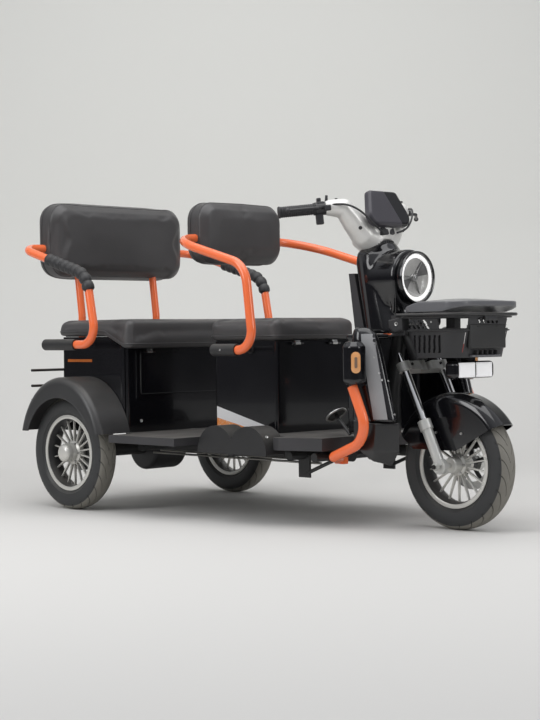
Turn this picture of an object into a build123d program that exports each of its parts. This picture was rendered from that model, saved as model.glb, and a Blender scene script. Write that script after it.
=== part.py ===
from build123d import *
from math import atan, cos, degrees, radians, sin, tan
import os

# Electric passenger tricycle: one steered front wheel, two rear wheels, two rows of seats.
# Millimetres. Forward is -Y, the vehicle's right side is -X, +Z is up.
# The origin is on the ground, under the middle of the vehicle's length and width.

# ---------------------------------------------------------------- driving dimensions
overall_length = 1990
wheelbase = 1422
front_axle_y = -795
body_half_width = 320
driver_seam_height = 588
rear_seam_height = 564
rear_seam_rise = 46
part_gap = 1.5
running_clearance = 0.05
seat_clearance = 0.3

# wheels: 3.0 inch wide tyres on 10 inch rims
tyre_radius = 200
tyre_width = 78
tyre_crown_drop = 4
tyre_shoulder_drop = 16
tyre_wall_rise = 12
bead_radius = 127
rim_lip_radius = 134
rim_lip_width = 4
rim_width = 62
rim_wall = 6
spoke_count = 18
spoke_width = 4
spoke_depth = 12
front_hub_radius = 27
front_hub_half_length = 46
rear_hub_radius = 34
hub_cap_height = 30
hub_cap_rounding = 16
drum_radius = 66
drum_depth = 12
axle_radius = 7
rear_wheel_gap = 28.5

# steering: raked stem, telescopic fork, disc brake
rake = 25
fork_offset = 4
fork_spacing = 180
stanchion_radius = 12.5
stanchion_tip = 34
slider_radius = 17
slider_collar_radius = 21
slider_collar_length = 30
slider_length = 150
bridge_height = 317
bridge_thickness = 28
bridge_depth = 34
bridge_clamp_wall = 9
bridge_arch_radius = 30
head_bearing_gap = 5
head_tube_top = 705
head_tube_radius = 27
stem_radius = 15
stem_clearance = 0.08
fork_lug_width = 18
fork_lug_radius = 24
axle_overhang = 14
axle_nut_radius = 12
brake_disc_radius = 82
brake_disc_thickness = 4
brake_disc_x = 61
brake_ring_width = 26
brake_arm_count = 5
brake_arm_width = 14
caliper_low = 40
caliper_height = 46
caliper_front = 30
caliper_length = 54
caliper_slot = 2

# front fender
fender_gap = 24
fender_wall = 4
fender_half_width = 52
fender_crown_fillet = 34
fender_front_angle = 35
fender_rear_angle = 25
fender_skirt_height = 46
fender_skirt_front = -26
fender_skirt_rear = 140

# handlebar, its cover and the instrument pod
bar_radius = 11
grip_radius = 17
grip_length = 118
grip_cap = 5
bar_dip = (52, -466, 915)
bar_shoulder = (138, -448, 1011)
bar_end = (304, -322, 992)
bar_bends = (40, 30, 30, 40)
lever_clamp_radius = 21
lever_clamp_length = 44
lever_radius = 5
cover_foot_height = 55
cover_foot_radius = 48
cover_waist_radius = 66
cover_lip_radius = 79
cover_bowl_height = 40
horn_foot_radius = 31
horn_radius = 25
horn_clamp_length = 44
horn_clamp_start = 168
stem_socket = 8
pod_half_top = 65
pod_half_bottom = 95
pod_height = 124
pod_depth = 30
pod_tilt = 22
pod_corner = 30
pod_ahead = 22
pod_rise = 111

# frame
rail_spacing = 280
rail_radius = 19
rail_height = 222
rail_kick_height = 288
rail_bend = 40
rail_front = -480
rail_kick_start = -177
rail_kick_end = -107
rail_rear = 213
cross_radius = 14
cross_half_width = 276
front_cross_places = (-440, -331, -60)
rear_cross_place = -227
loop_half_width = 240
neck_height = 520
down_tube_y = -530
down_tube_radius = 24
down_tube_heights = (420, 290)
down_tube_foot = 60
down_tube_bend = 28
bracket_x = 205
bracket_bottom = 150
bracket_half_length = 24
bracket_thickness = 8
strut_radius = 6
strut_foot = (-448, 206)

# floor boards and step shells
board_wall = 5
front_board_top = 284
front_board_thickness = 40
front_board_half_width = 335
front_board_nose_half_width = 286
front_board_front = -484
rear_board_top = 272
rear_board_thickness = 26
rear_board_half_width = 430
rear_board_front = 46
shell_x_inner = 282
shell_width = 84
shell_length = 320
shell_centre_y = -158
shell_base = 226
shell_top = 316
shell_valley_drop = 44
shell_front_hump = 70
shell_rear_hump = 86
shell_wall = 4

# driver's seat
box_wall = 6
driver_box_half_width = 180
driver_box_front = -184
driver_box_rear = 118
box_corner = 14
battery_height = 150
battery_inset = 16
cushion_overhang = 12
cushion_corner = 34
cushion_rounding = 22
driver_cushion_thickness = 72

# rear body and bench, with places along Y measured from the rear axle
body_front = -201
body_rear = 146
body_floor = 316
body_skirt = 272
body_corner = 24
seam_rise_start = -212
seam_rise_end = -107
rear_cushion_nose = 40
rear_cushion_tail = 19
rear_cushion_thickness = 102
tail_lamp_inner = 190
tail_lamp_outer = 290
tail_lamp_low = 470
tail_lamp_high = 540
tail_lamp_depth = 18

# lid hinges
hinge_radius = 4
hinge_pin_radius = 2
hinge_barrel = 30
hinge_knuckle = 12
hinge_ahead = 8
hinge_drop = 10
lid_stem = 5

# backrests
driver_back_face = 141
driver_back_thickness = 97
driver_back_bottom = 855
driver_back_top = 1068
driver_back_half_width = 186
rear_back_face = 189
rear_back_thickness = 106
rear_back_bottom = 829
rear_back_top = 1105
rear_back_half_width = 306
backrest_corner = 58
backrest_fillet = 30
post_radius = 14
post_spacing = 362
post_waist_height = 690
post_tip_gap = 12

# armrests: one bent tube for each row, from sleeve over the backrest to sleeve
armrest_radius = 15
knee_bend = 62
elbow_bend = 90
driver_armrest_x = 330
driver_crossbar = (192, 942)
driver_elbow = (-196, 832)
driver_knee = -230
driver_plan_bend = 160
driver_sleeve = (-156, -45)
rear_armrest_side = 107
rear_crossbar = (255, 935)
rear_elbow = (-131, 823)
rear_knee = -179
rear_plan_bend = 80
rear_sleeve = (-67, 108)
sleeve_radius = 20
sleeve_drop = 28
sleeve_plug = 4
stub_radius = 10
stub_flange = 4
stub_flange_thickness = 6

# front cowl, headlamp and inner panel
cowl_wall = 4
spine_half_width = 88
spine_front_margin = 42
spine_rear_margin = 36
spine_top_gap = 16
spine_low = 606
spine_low_rear = -490
spine_front_fillet = 32
cover_ring_radius = 45
cover_ring_gap = 2
nacelle_radius = 88
nacelle_front = -628
lamp_height = 782
lamp_radius = 79
lamp_front = 12
lamp_depth = 26
lamp_rounding = 6
panel_half_width = 84
panel_top = 800
panel_rear_top = -420
panel_rear_low = -446
hook_height = 790
hook_radius = 4
hook_reach = 44
key_height = 660
key_radius = 11
key_depth = 8
key_x = -40

# leg shield, crash bars and turn signals
shield_inner = 176
shield_outer = 240
shield_top = 622
shield_break = 335
shield_rear = -530
shield_top_front = (-636, -606)
shield_break_front = (-711, -665)
shield_corner = 36
well_wall_front = -500
well_wall_thickness = 12
well_wall_bottom = 290
well_wall_top = 604
well_roof_front = -600
well_roof_inner = 96
fin_bottom = 200
fin_front = (-706, -661)
fin_front_height = 245
fin_tip = (-676, -640)
fin_rear = -600
heel_height = 236
crash_bar_radius = 16
crash_bar_x = 273
crash_bar_corner = (-672, 290)
crash_bar_foot = (-505, 226)
crash_bar_end = (-480, 216)
crash_bar_top_y = -603
crash_bar_bends = (75, 18)
crash_flange_length = 34
crash_flange_inset = 68
crash_flange_width = 24
signal_centre_height = 518
signal_width = 60
signal_height = 128
signal_depth = 62
signal_rounding = 20
signal_ahead = 39
signal_gap = 3

# basket, its rack and lid, and the fog lamps
basket_half_width = 150
basket_rear = -696
basket_front = -914
basket_bottom = 531
basket_rim = 612
basket_band = 656
basket_wall = 3
basket_draft = 20
basket_rear_draft = 32
basket_front_corner = 62
basket_rear_corner = 20
window_margin = 6
rack_bar_radius = 5
ring_overhang = 12
ring_rise = 6
ring_bend = 60
rack_arm_x = 44
rack_arm_height = 632
rack_plate = (118, 148)
rack_plate_length = 42
lid_thickness = 16
lid_rise = 18
lid_ramp = 90
lid_overhang = 10
lid_corner = 50
lid_knuckle_x = (60, 90)
lid_knuckle_radius = 9
fog_width = 194
fog_height = 54
fog_depth = 50
fog_face = -864
fog_bottom = 466
fog_rounding = 10
fog_bracket_half = 18

# rear axle, fenders, rack, brake linkage
axle_tube_radius = 24
motor_radius = 82
motor_length = 150
motor_rounding = 14
spring_half_length = 182
spring_rise = 34
spring_pack = 20
spring_leaf = 8
spring_width = 40
spring_side = 55
arch_half_length = 236
arch_height = 268
arch_foot = 74
arch_lip_half_length = 191
arch_lip_height = 196
fender_side_wall = 5
fender_side_gap = 37.5
fender_side_rounding = 26
rack_rod_radius = 5
rack_half_width = 306
rack_heights = (374, 428, 486)
rack_upright_x = 150
rod_front = -300
rod_rear = -87
rod_height = 186
rod_radius = 4
rod_places = ((-96, 0, 0), (-62, 60, 6))
pedal_x = -150
pedal_y = -419
pedal_height = 350
pedal_radius = 33
pedal_rod_radius = 5
pedal_reach = 60

# ---------------------------------------------------------------- derived places
rear_axle_y = front_axle_y + wheelbase
wheel_z = tyre_radius
rear_wheel_x = body_half_width + rear_wheel_gap + tyre_width / 2
rear_armrest_x = body_half_width + rear_armrest_side
fender_outer_x = rear_wheel_x + tyre_width / 2 + fender_side_gap
fork_x = fork_spacing / 2
slope_sin = sin(radians(rake))
slope_cos = cos(radians(rake))
stem_foot_y = front_axle_y + fork_offset / slope_cos
axle_drop = -fork_offset * tan(radians(rake))
head_tube_bottom = bridge_height + bridge_thickness + head_bearing_gap
cover_foot = head_tube_top + cover_foot_height
nose_y = front_axle_y - tyre_radius
tail_y = nose_y + overall_length
length_shift = -(nose_y + tail_y) / 2
rack_rod_y = tail_y - rack_rod_radius
body_front_y = rear_axle_y + body_front
body_rear_y = rear_axle_y + body_rear
rear_board_rear = rear_axle_y - arch_half_length - cushion_overhang / 2
rear_seam_top = rear_seam_height + rear_seam_rise
rear_back_face_y = rear_axle_y + rear_back_face
post_foot_y = rear_axle_y + rail_rear
rack_bar_y = basket_rear + 2 * rack_bar_radius
ring_z = basket_band + ring_rise
signal_low = signal_centre_height - signal_height / 2


def stem_point(distance, ahead=0):
    """Place (y, z) a distance up the steering axis and some way ahead of it."""
    y = stem_foot_y + distance * slope_sin - ahead * slope_cos
    z = wheel_z + distance * slope_cos + ahead * slope_sin
    return y, z


def steer_plane(distance, sideways=0, ahead=0):
    """Plane across the steering axis, a distance up the stem from axle height."""
    y, z = stem_point(distance, ahead)
    return Plane(origin=(sideways, y, z), x_dir=(1, 0, 0), z_dir=(0, slope_sin, slope_cos))


def stem_y(z):
    """Where the steering axis is at a height."""
    return stem_foot_y + (z - wheel_z) * tan(radians(rake))


def both(shape):
    """The shape and its mirror image on the other side of the vehicle."""
    return Compound([*shape.solids(), *mirror(shape, about=Plane.YZ).solids()])


def tube(points, radius, bend):
    """Round bar along straight runs joined by arcs."""
    route = FilletPolyline(*points, radius=bend) if len(points) > 2 else Line(*points)
    return sweep(Plane(route @ 0, z_dir=route % 0) * Circle(radius), route)


def cylinder_x(radius, x0, x1, y, z):
    """Cylinder along X from x0 to x1."""
    return Plane(origin=(x0, y, z), z_dir=(1, 0, 0)) * extrude(Circle(radius), x1 - x0)


def cylinder_y(radius, y0, y1, x, z):
    """Cylinder along Y from y0 to y1."""
    return Plane(origin=(x, y0, z), z_dir=(0, 1, 0)) * extrude(Circle(radius), y1 - y0)


def block(x0, x1, y0, y1, z0, z1):
    """Box between two corners."""
    return Pos((x0 + x1) / 2, (y0 + y1) / 2, (z0 + z1) / 2) * Box(x1 - x0, y1 - y0, z1 - z0)


def side_face(points, x):
    """Flat face of (y, z) points on the plane at x."""
    plane = Plane(origin=(x, 0, 0), x_dir=(0, 1, 0), z_dir=(1, 0, 0))
    return plane * make_face(Polyline(*points, close=True))


def side_extrude(outline, x0, x1):
    """Extrude a closed outline of (y, z) points from x0 to x1."""
    plane = Plane(origin=(x0, 0, 0), x_dir=(0, 1, 0), z_dir=(1, 0, 0))
    return plane * extrude(outline, x1 - x0)


def write(node, shape):
    """Write one sub-part to its own STEP file, with the vehicle's length centred."""
    solids = (Pos(0, length_shift, 0) * shape).solids()
    export_step(solids[0] if len(solids) == 1 else Compound(solids), f"parts/{node}.step")


# ---------------------------------------------------------------- wheels
def tyre(x, y):
    """Tyre ring with rounded shoulders, seated on the rim's bead."""
    half = tyre_width / 2
    bead = bead_radius + seat_clearance
    seat = rim_width / 2 - rim_lip_width - seat_clearance
    lip = rim_lip_radius + seat_clearance
    shoulder = half * 0.93
    tread = half * 0.60
    side = [
        (seat, bead),
        (seat, lip),
        (half * 0.90, lip + tyre_wall_rise),
        (half, lip + 2 * tyre_wall_rise),
        (shoulder, tyre_radius - tyre_shoulder_drop),
        (tread, tyre_radius - tyre_crown_drop),
    ]
    far_side = [(-across, radius) for across, radius in reversed(side)]
    profile = Polyline(*side, (0, tyre_radius), *far_side, close=True)
    section = Plane(origin=(x, y, wheel_z), x_dir=(1, 0, 0), z_dir=(0, -1, 0)) * make_face(profile)
    return revolve(section, Axis((x, y, wheel_z), (1, 0, 0)))


def rim(x, y, hub_radius, hub_half_length):
    """Rim barrel with two lips, thin straight spokes and a bored hub."""
    half = rim_width / 2
    lip = half - rim_lip_width
    barrel_profile = Polyline(
        (half, rim_lip_radius),
        (lip, rim_lip_radius),
        (lip, bead_radius),
        (-lip, bead_radius),
        (-lip, rim_lip_radius),
        (-half, rim_lip_radius),
        (-half, bead_radius - rim_wall),
        (half, bead_radius - rim_wall),
        close=True,
    )
    plane = Plane(origin=(x, y, wheel_z), x_dir=(1, 0, 0), z_dir=(0, -1, 0))
    wheel = revolve(plane * make_face(barrel_profile), Axis((x, y, wheel_z), (1, 0, 0)))
    hub = cylinder_x(hub_radius, x - hub_half_length, x + hub_half_length, y, wheel_z)
    reach = bead_radius - rim_wall / 2
    spoke = Pos(0, 0, reach / 2) * Box(spoke_depth, spoke_width, reach)
    for turn in range(spoke_count):
        wheel += Pos(x, y, wheel_z) * Rot(360 * turn / spoke_count, 0, 0) * spoke
    bore = cylinder_x(axle_radius + running_clearance, x - rim_width, x + rim_width, y, wheel_z)
    return wheel + hub - bore


def front_brake_disc():
    """Brake disc bolted to the left side of the front hub."""
    x0 = brake_disc_x
    x1 = x0 + brake_disc_thickness
    inner = brake_disc_radius - brake_ring_width
    disc = cylinder_x(brake_disc_radius, x0, x1, front_axle_y, wheel_z)
    disc -= cylinder_x(inner, x0 - 1, x1 + 1, front_axle_y, wheel_z)
    arm = Pos(0, 0, inner / 2) * Box(brake_disc_thickness, brake_arm_width, inner + brake_arm_width)
    for turn in range(brake_arm_count):
        turned = Rot(360 * turn / brake_arm_count, 0, 0) * arm
        disc += Pos((x0 + x1) / 2, front_axle_y, wheel_z) * turned
    boss = cylinder_x(front_hub_radius - 5, 0, x1, front_axle_y, wheel_z)
    bore = cylinder_x(axle_radius + running_clearance, -1, x1 + 1, front_axle_y, wheel_z)
    return disc + boss - bore


def rear_rim(side):
    """Rear rim with its domed hub cap outside and brake drum inside."""
    x = side * rear_wheel_x
    wheel = rim(x, rear_axle_y, rear_hub_radius, rim_width / 2)
    cap_foot = Plane(origin=(x + side * rim_width / 2, rear_axle_y, wheel_z), z_dir=(side, 0, 0))
    cap = cap_foot * extrude(Circle(rear_hub_radius - 2), hub_cap_height)
    cap = fillet(cap.edges().sort_by(Axis.X)[-1 if side > 0 else 0], hub_cap_rounding)
    drum_foot = Plane(origin=(x - side * rim_width / 2, rear_axle_y, wheel_z), z_dir=(-side, 0, 0))
    drum = drum_foot * extrude(Circle(drum_radius), drum_depth)
    shaft = drum_foot * extrude(Circle(axle_radius + running_clearance), drum_depth)
    return wheel + cap + (drum - shaft)


# ---------------------------------------------------------------- steering assembly
def fork_bridge():
    """Cast bridge that clamps both stanchions, with the steering stem above it."""
    plane = steer_plane(bridge_height)
    depth = bridge_depth + fork_offset
    body = Pos(0, -fork_offset / 2, bridge_thickness / 2) * Box(fork_spacing, depth, bridge_thickness)
    body -= Pos(0, -fork_offset - 26, -2) * Cylinder(bridge_arch_radius, 3 * bridge_thickness)
    body = plane * body
    for side in (-1, 1):
        clamp_plane = steer_plane(bridge_height, side * fork_x, fork_offset)
        body += clamp_plane * extrude(Circle(stanchion_radius + bridge_clamp_wall), bridge_thickness)
    body += plane * extrude(Circle(stem_radius), cover_foot + stem_socket - 1 - bridge_height)
    for side in (-1, 1):
        bore_plane = steer_plane(bridge_height - 1, side * fork_x, fork_offset)
        body -= bore_plane * extrude(Circle(stanchion_radius), bridge_thickness + 2)
    return body


def fork_stanchions():
    """Two chromed inner tubes with tapered tips."""
    start = slider_length + part_gap
    length = bridge_height + bridge_thickness - start
    plane = steer_plane(start, fork_x, fork_offset)
    tip_plane = steer_plane(start + length, fork_x, fork_offset)
    bar = plane * extrude(Circle(stanchion_radius), length)
    tip = tip_plane * extrude(Circle(stanchion_radius - 2), stanchion_tip, taper=9)
    return both(bar + tip)


def fork_sliders():
    """Two cast outer legs with collars and lugs, joined by the axle, and the brake caliper."""
    plane = steer_plane(axle_drop, fork_x, fork_offset)
    leg = plane * extrude(Circle(slider_radius), slider_length - axle_drop)
    collar_plane = steer_plane(slider_length - slider_collar_length, fork_x, fork_offset)
    leg += collar_plane * extrude(Circle(slider_collar_radius), slider_collar_length)
    half = fork_lug_width / 2
    leg += cylinder_x(fork_lug_radius, fork_x - half, fork_x + half, front_axle_y, wheel_z)
    end = fork_x + slider_radius + axle_overhang
    leg += cylinder_x(axle_radius, 0, end, front_axle_y, wheel_z)
    nut_plane = Plane(origin=(end - axle_nut_radius, front_axle_y, wheel_z), z_dir=(1, 0, 0))
    leg += nut_plane * extrude(RegularPolygon(axle_nut_radius, 6), axle_nut_radius - 2)
    return leg + mirror(leg, about=Plane.YZ) + front_brake_caliper()


def front_brake_caliper():
    """Caliper on the left leg, its slot straddling the disc."""
    x0 = brake_disc_x - 7
    x1 = fork_x - slider_radius + 6
    y0 = front_axle_y + caliper_front
    y1 = y0 + caliper_length
    z0 = wheel_z + caliper_low
    z1 = z0 + caliper_height
    body = block(x0, x1, y0, y1, z0, z1)
    slot_x0 = brake_disc_x - caliper_slot
    slot_x1 = brake_disc_x + brake_disc_thickness + caliper_slot
    body -= block(slot_x0, slot_x1, y0 - 30, y1 + 6, z0 - 30, z1 - 8)
    arm = block(x1 - 6, fork_x, y0 - 6, y0 + 30, z0 + 10, z1 - 12)
    return body + arm


def fender_outline():
    """Side outline of the front fender: an arc over the tyre and a cut-off skirt."""
    crown = tyre_radius + fender_gap
    front_angle = radians(fender_front_angle)
    rear_angle = radians(fender_rear_angle)
    front = (front_axle_y - crown * cos(front_angle), wheel_z + crown * sin(front_angle))
    top = (front_axle_y, wheel_z + crown)
    rear = (front_axle_y + crown * cos(rear_angle), wheel_z + crown * sin(rear_angle))
    skirt_front = (front_axle_y + fender_skirt_front, wheel_z + fender_skirt_height)
    skirt_rear = (front_axle_y + fender_skirt_rear, wheel_z + fender_skirt_height)
    arc = ThreePointArc(front, top, rear)
    edge = Polyline(rear, skirt_rear, skirt_front, front)
    return make_face(arc.edges() + edge.edges())


def front_fender():
    """Deep fender around the front tyre, open below."""
    half = fender_half_width
    outer = side_extrude(fender_outline(), -half, half)
    outer = fillet(outer.edges().filter_by(GeomType.CIRCLE), fender_crown_fillet)
    inner_half = half - fender_wall
    well_radius = tyre_radius + fender_gap - fender_wall
    well = cylinder_x(well_radius, -inner_half, inner_half, front_axle_y, wheel_z)
    well = fillet(well.edges().filter_by(GeomType.CIRCLE), fender_crown_fillet - fender_wall)
    return outer - well


def bar_route():
    """Corners of the handlebar: grips, shoulders and the dip inside the cover."""
    left = [bar_end, bar_shoulder, bar_dip]
    right = [(-x, y, z) for x, y, z in reversed(left)]
    return left + right


def bar_plane(distance):
    """Plane across the left bar's straight, a distance in from its end."""
    run = Vector(*bar_shoulder) - Vector(*bar_end)
    direction = run.normalized()
    return Plane(origin=Vector(*bar_end) + direction * distance, z_dir=direction)


def handlebar():
    """Bent steel bar with a brake lever and its clamp at each side."""
    lever = brake_lever()
    return tube(bar_route(), bar_radius, bar_bends) + lever + mirror(lever, about=Plane.YZ)


def grips():
    """Two rubber grips over the bar's ends."""
    sleeve = bar_plane(0) * extrude(Circle(grip_radius) - Circle(bar_radius), grip_length)
    end = bar_plane(-grip_cap) * extrude(Circle(grip_radius + 2), grip_cap - running_clearance)
    rim_plane = bar_plane(-1)
    rim_ring = rim_plane * extrude(Circle(grip_radius + 2) - Circle(bar_radius), 2)
    return both(sleeve + rim_ring + end)


def brake_lever():
    """Left lever with its clamp and switch housing."""
    clamp = bar_plane(grip_length + part_gap) * extrude(Circle(lever_clamp_radius), lever_clamp_length)
    run = (Vector(*bar_end) - Vector(*bar_shoulder)).normalized()
    ahead = Vector(run.Y, -run.X, 0).normalized()
    root = Vector(*bar_end) - run * (grip_length + lever_clamp_length / 2) + ahead * 14
    knee = root + ahead * 34 + run * 18
    tip = knee + run * 96 - ahead * 4
    lever = tube([tuple(root), tuple(knee), tuple(tip)], lever_radius, 2 * lever_radius)
    return clamp + lever + Pos(*tip) * Sphere(lever_radius + 3)


def handlebar_cover():
    """Cast cover: a bowl around the stem's top and two horns that hold the bar."""
    foot = steer_plane(cover_foot)
    bowl_arc = ThreePointArc(
        (cover_foot_radius, 0),
        (cover_waist_radius, cover_bowl_height / 2),
        (cover_lip_radius, cover_bowl_height),
    )
    bowl_edge = Polyline(
        (cover_lip_radius, cover_bowl_height), (0, cover_bowl_height), (0, 0), (cover_foot_radius, 0)
    )
    section = Plane.XZ * make_face(bowl_arc.edges() + bowl_edge.edges())
    body = foot * revolve(section, Axis.Z)
    horn = bar_horn()
    body += horn
    body += mirror(horn, about=Plane.YZ)
    body -= foot * extrude(Circle(2 * cover_lip_radius), -2 * horn_foot_radius)
    body -= tube(bar_route(), bar_radius + running_clearance, bar_bends)
    body -= foot * extrude(Circle(stem_radius + stem_clearance), stem_socket)
    return body - instrument_pod(part_gap)


def bar_horn():
    """Left horn of the cover: a tapered arm up to the bar, with a round clamp on the bar."""
    low = Vector(*bar_dip)
    high = Vector(*bar_shoulder)
    run = high - low
    narrowing = degrees(atan((horn_foot_radius - horn_radius) / run.length))
    arm_plane = Plane(origin=low, z_dir=run.normalized())
    arm = arm_plane * extrude(Circle(horn_foot_radius), run.length, taper=narrowing)
    foot = Pos(*low) * Sphere(horn_foot_radius)
    knuckle = Pos(*high) * Sphere(horn_radius)
    clamp = bar_plane(horn_clamp_start) * extrude(Circle(horn_radius), horn_clamp_length)
    return foot + arm + knuckle + clamp


def instrument_pod(margin=0):
    """Instrument housing that leans back above the cover, grown by a margin."""
    tilt = radians(pod_tilt)
    foot_y, foot_z = stem_point(cover_foot)
    centre = (0, foot_y - pod_ahead + margin, foot_z + pod_rise)
    plane = Plane(origin=centre, x_dir=(1, 0, 0), z_dir=(0, -cos(tilt), sin(tilt)))
    half_height = pod_height / 2 + margin
    top = pod_half_top + margin
    bottom = pod_half_bottom + margin
    corners = [(-bottom, -half_height), (bottom, -half_height), (top, half_height), (-top, half_height)]
    outline = make_face(Polyline(*corners, close=True))
    outline = fillet(outline.vertices(), pod_corner)
    return plane * extrude(outline, pod_depth + margin)


# ---------------------------------------------------------------- frame
def frame():
    """Welded tube frame: two rails, cross tubes, rear loop, down tube and head tube."""
    half = rail_spacing / 2
    rail = tube(
        [
            (-half, rail_front, rail_height),
            (-half, rear_axle_y + rail_kick_start, rail_height),
            (-half, rear_axle_y + rail_kick_end, rail_kick_height),
            (-half, post_foot_y, rail_kick_height),
        ],
        rail_radius,
        rail_bend,
    )
    body = rail + mirror(rail, about=Plane.YZ)
    for y in (*front_cross_places, rear_axle_y + rear_cross_place):
        body += cylinder_x(cross_radius, -cross_half_width, cross_half_width, y, rail_height)
    body += cylinder_x(cross_radius, -loop_half_width, loop_half_width, post_foot_y, rail_kick_height)
    down_tube_top, down_tube_low = down_tube_heights
    body += tube(
        [
            (0, *stem_point(neck_height)),
            (0, down_tube_y, down_tube_top),
            (0, down_tube_y, down_tube_low),
            (0, down_tube_y + down_tube_foot, rail_height),
            (0, front_cross_places[0] + cross_radius / 2, rail_height),
        ],
        down_tube_radius,
        down_tube_bend,
    )
    for x in (-bracket_x, bracket_x):
        body += floor_bracket(x)
    length = head_tube_top - head_tube_bottom
    body += steer_plane(head_tube_bottom) * extrude(Circle(head_tube_radius), length)
    bore = steer_plane(head_tube_bottom - length) * extrude(Circle(stem_radius + stem_clearance), 3 * length)
    return body - bore


def floor_bracket(x):
    """Plate under a cross tube, with a strut forward to the floor's front."""
    y = front_cross_places[1]
    half = bracket_thickness / 2
    y0 = y - bracket_half_length
    plate = block(x - half, x + half, y0, y + bracket_half_length, bracket_bottom, rail_height)
    foot = (x, y - strut_radius, bracket_bottom + 2 * strut_radius)
    return plate + tube([foot, (x, *strut_foot)], strut_radius, strut_radius)


def rear_axle_housing():
    """Axle tube across the rear with a stub for each wheel."""
    inner_end = rear_wheel_x - rim_width / 2 - drum_depth - part_gap
    body = cylinder_x(axle_tube_radius, -inner_end, inner_end, rear_axle_y, wheel_z)
    outer_end = rear_wheel_x + rim_width / 2 - part_gap
    return body + cylinder_x(axle_radius, -outer_end, outer_end, rear_axle_y, wheel_z)


def drive_motor():
    """Motor and differential as one plain block around the axle tube."""
    half = motor_length / 2
    body = cylinder_x(motor_radius, -half, half, rear_axle_y, wheel_z)
    body = fillet(body.edges().filter_by(GeomType.CIRCLE), motor_rounding)
    return body - cylinder_x(axle_tube_radius + running_clearance, -2 * half, 2 * half, rear_axle_y, wheel_z)


def rear_leaf_springs():
    """Leaf spring packs that sit on the axle tube, one at each side."""
    x0 = rail_spacing / 2 + spring_side
    low = wheel_z + axle_tube_radius + part_gap
    end = low + spring_rise
    front = rear_axle_y - spring_half_length
    rear = rear_axle_y + spring_half_length
    lower = ThreePointArc((front, end), (rear_axle_y, low), (rear, end))
    upper = ThreePointArc((rear, end + spring_leaf), (rear_axle_y, low + spring_pack), (front, end + spring_leaf))
    ends = [Line((rear, end), (rear, end + spring_leaf)), Line((front, end + spring_leaf), (front, end))]
    outline = make_face([*lower.edges(), *upper.edges(), *ends[0].edges(), *ends[1].edges()])
    return both(side_extrude(outline, x0, x0 + spring_width))


def brake_rods():
    """Two long brake rods under the floor."""
    rear = rear_axle_y + rod_rear
    rods = [
        cylinder_y(rod_radius, rod_front + start, rear, x, rod_height + rise) for x, start, rise in rod_places
    ]
    return Compound(rods)


# ---------------------------------------------------------------- floor
def floor_tray(outline, top, thickness):
    """Moulded tray from a plan outline: a flat top with a skirt below its edge."""
    face = make_face(Polyline(*outline, close=True))
    low = top - thickness
    body = Pos(0, 0, low) * extrude(face, thickness)
    return body - Pos(0, 0, low) * extrude(offset(face, -board_wall), thickness - board_wall)


def mirrored_outline(half_outline):
    """Closed plan outline from its left half, listed from front to rear."""
    return half_outline + [(-x, y) for x, y in reversed(half_outline)]


def front_floor_board():
    """Driver's floor, cut around the seat box, step shells and down tube."""
    shell_inner = shell_x_inner - part_gap
    shell_front = shell_centre_y - shell_length / 2 - part_gap
    left = [
        (front_board_nose_half_width, front_board_front),
        (front_board_half_width, shell_front - bracket_half_length),
        (front_board_half_width, shell_front),
        (shell_inner, shell_front),
        (shell_inner, rear_board_front - part_gap),
    ]
    body = floor_tray(mirrored_outline(left), front_board_top, front_board_thickness)
    half = driver_box_half_width + part_gap
    body -= block(-half, half, driver_box_front - part_gap, driver_box_rear, 0, 2 * front_board_top)
    notch = down_tube_radius + 8
    notch_rear = front_board_front + 2 * notch
    return body - block(-notch, notch, front_board_front - notch, notch_rear, 0, 2 * front_board_top)


def rear_floor_board():
    """Passengers' floor between the driver's seat box and the rear body."""
    left = [
        (rear_board_half_width, rear_board_front),
        (rear_board_half_width, rear_board_rear),
        (body_half_width, rear_board_rear),
        (body_half_width, body_front_y - part_gap),
    ]
    body = floor_tray(mirrored_outline(left), rear_board_top, rear_board_thickness)
    half = driver_box_half_width + part_gap
    return body - block(-half, half, 0, driver_box_rear + part_gap, 0, 2 * rear_board_top)


def step_shell():
    """Double-hump moulded cover on the floor's outer edge."""
    front = shell_centre_y - shell_length / 2
    middle = shell_centre_y
    rear = shell_centre_y + shell_length / 2
    valley = shell_top - shell_valley_drop
    front_hump = ThreePointArc((front, shell_base), (front + shell_front_hump, shell_top), (middle, valley))
    rear_hump = ThreePointArc((middle, valley), (rear - shell_rear_hump, shell_top), (rear, shell_base))
    base = Line((rear, shell_base), (front, shell_base))
    outline = make_face([*front_hump.edges(), *rear_hump.edges(), *base.edges()])
    x0 = shell_x_inner
    body = side_extrude(outline, x0, x0 + shell_width)
    pocket = side_extrude(outline, x0 + shell_wall, x0 + shell_width - shell_wall)
    return body - Pos(0, 0, -shell_wall) * pocket


# ---------------------------------------------------------------- lid hinges
def hinge_place(wall_y, seam):
    """Axis (y, z) of a lid's hinge, ahead of the wall below its seam."""
    return wall_y - hinge_ahead, seam - hinge_drop


def hinge_barrels(spread, wall_y, seam, lid_bottom):
    """Two barrels below a lid's front edge, each bored for its pin."""
    y, z = hinge_place(wall_y, seam)
    half = hinge_barrel / 2
    barrel = cylinder_x(hinge_radius, spread - half, spread + half, y, z)
    stem = block(spread - half, spread + half, y - lid_stem / 2, y + lid_stem / 2, z, lid_bottom + 1)
    bore = cylinder_x(hinge_pin_radius + running_clearance, spread - half - 1, spread + half + 1, y, z)
    left = barrel + stem - bore
    return left + mirror(left, about=Plane.YZ)


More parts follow.
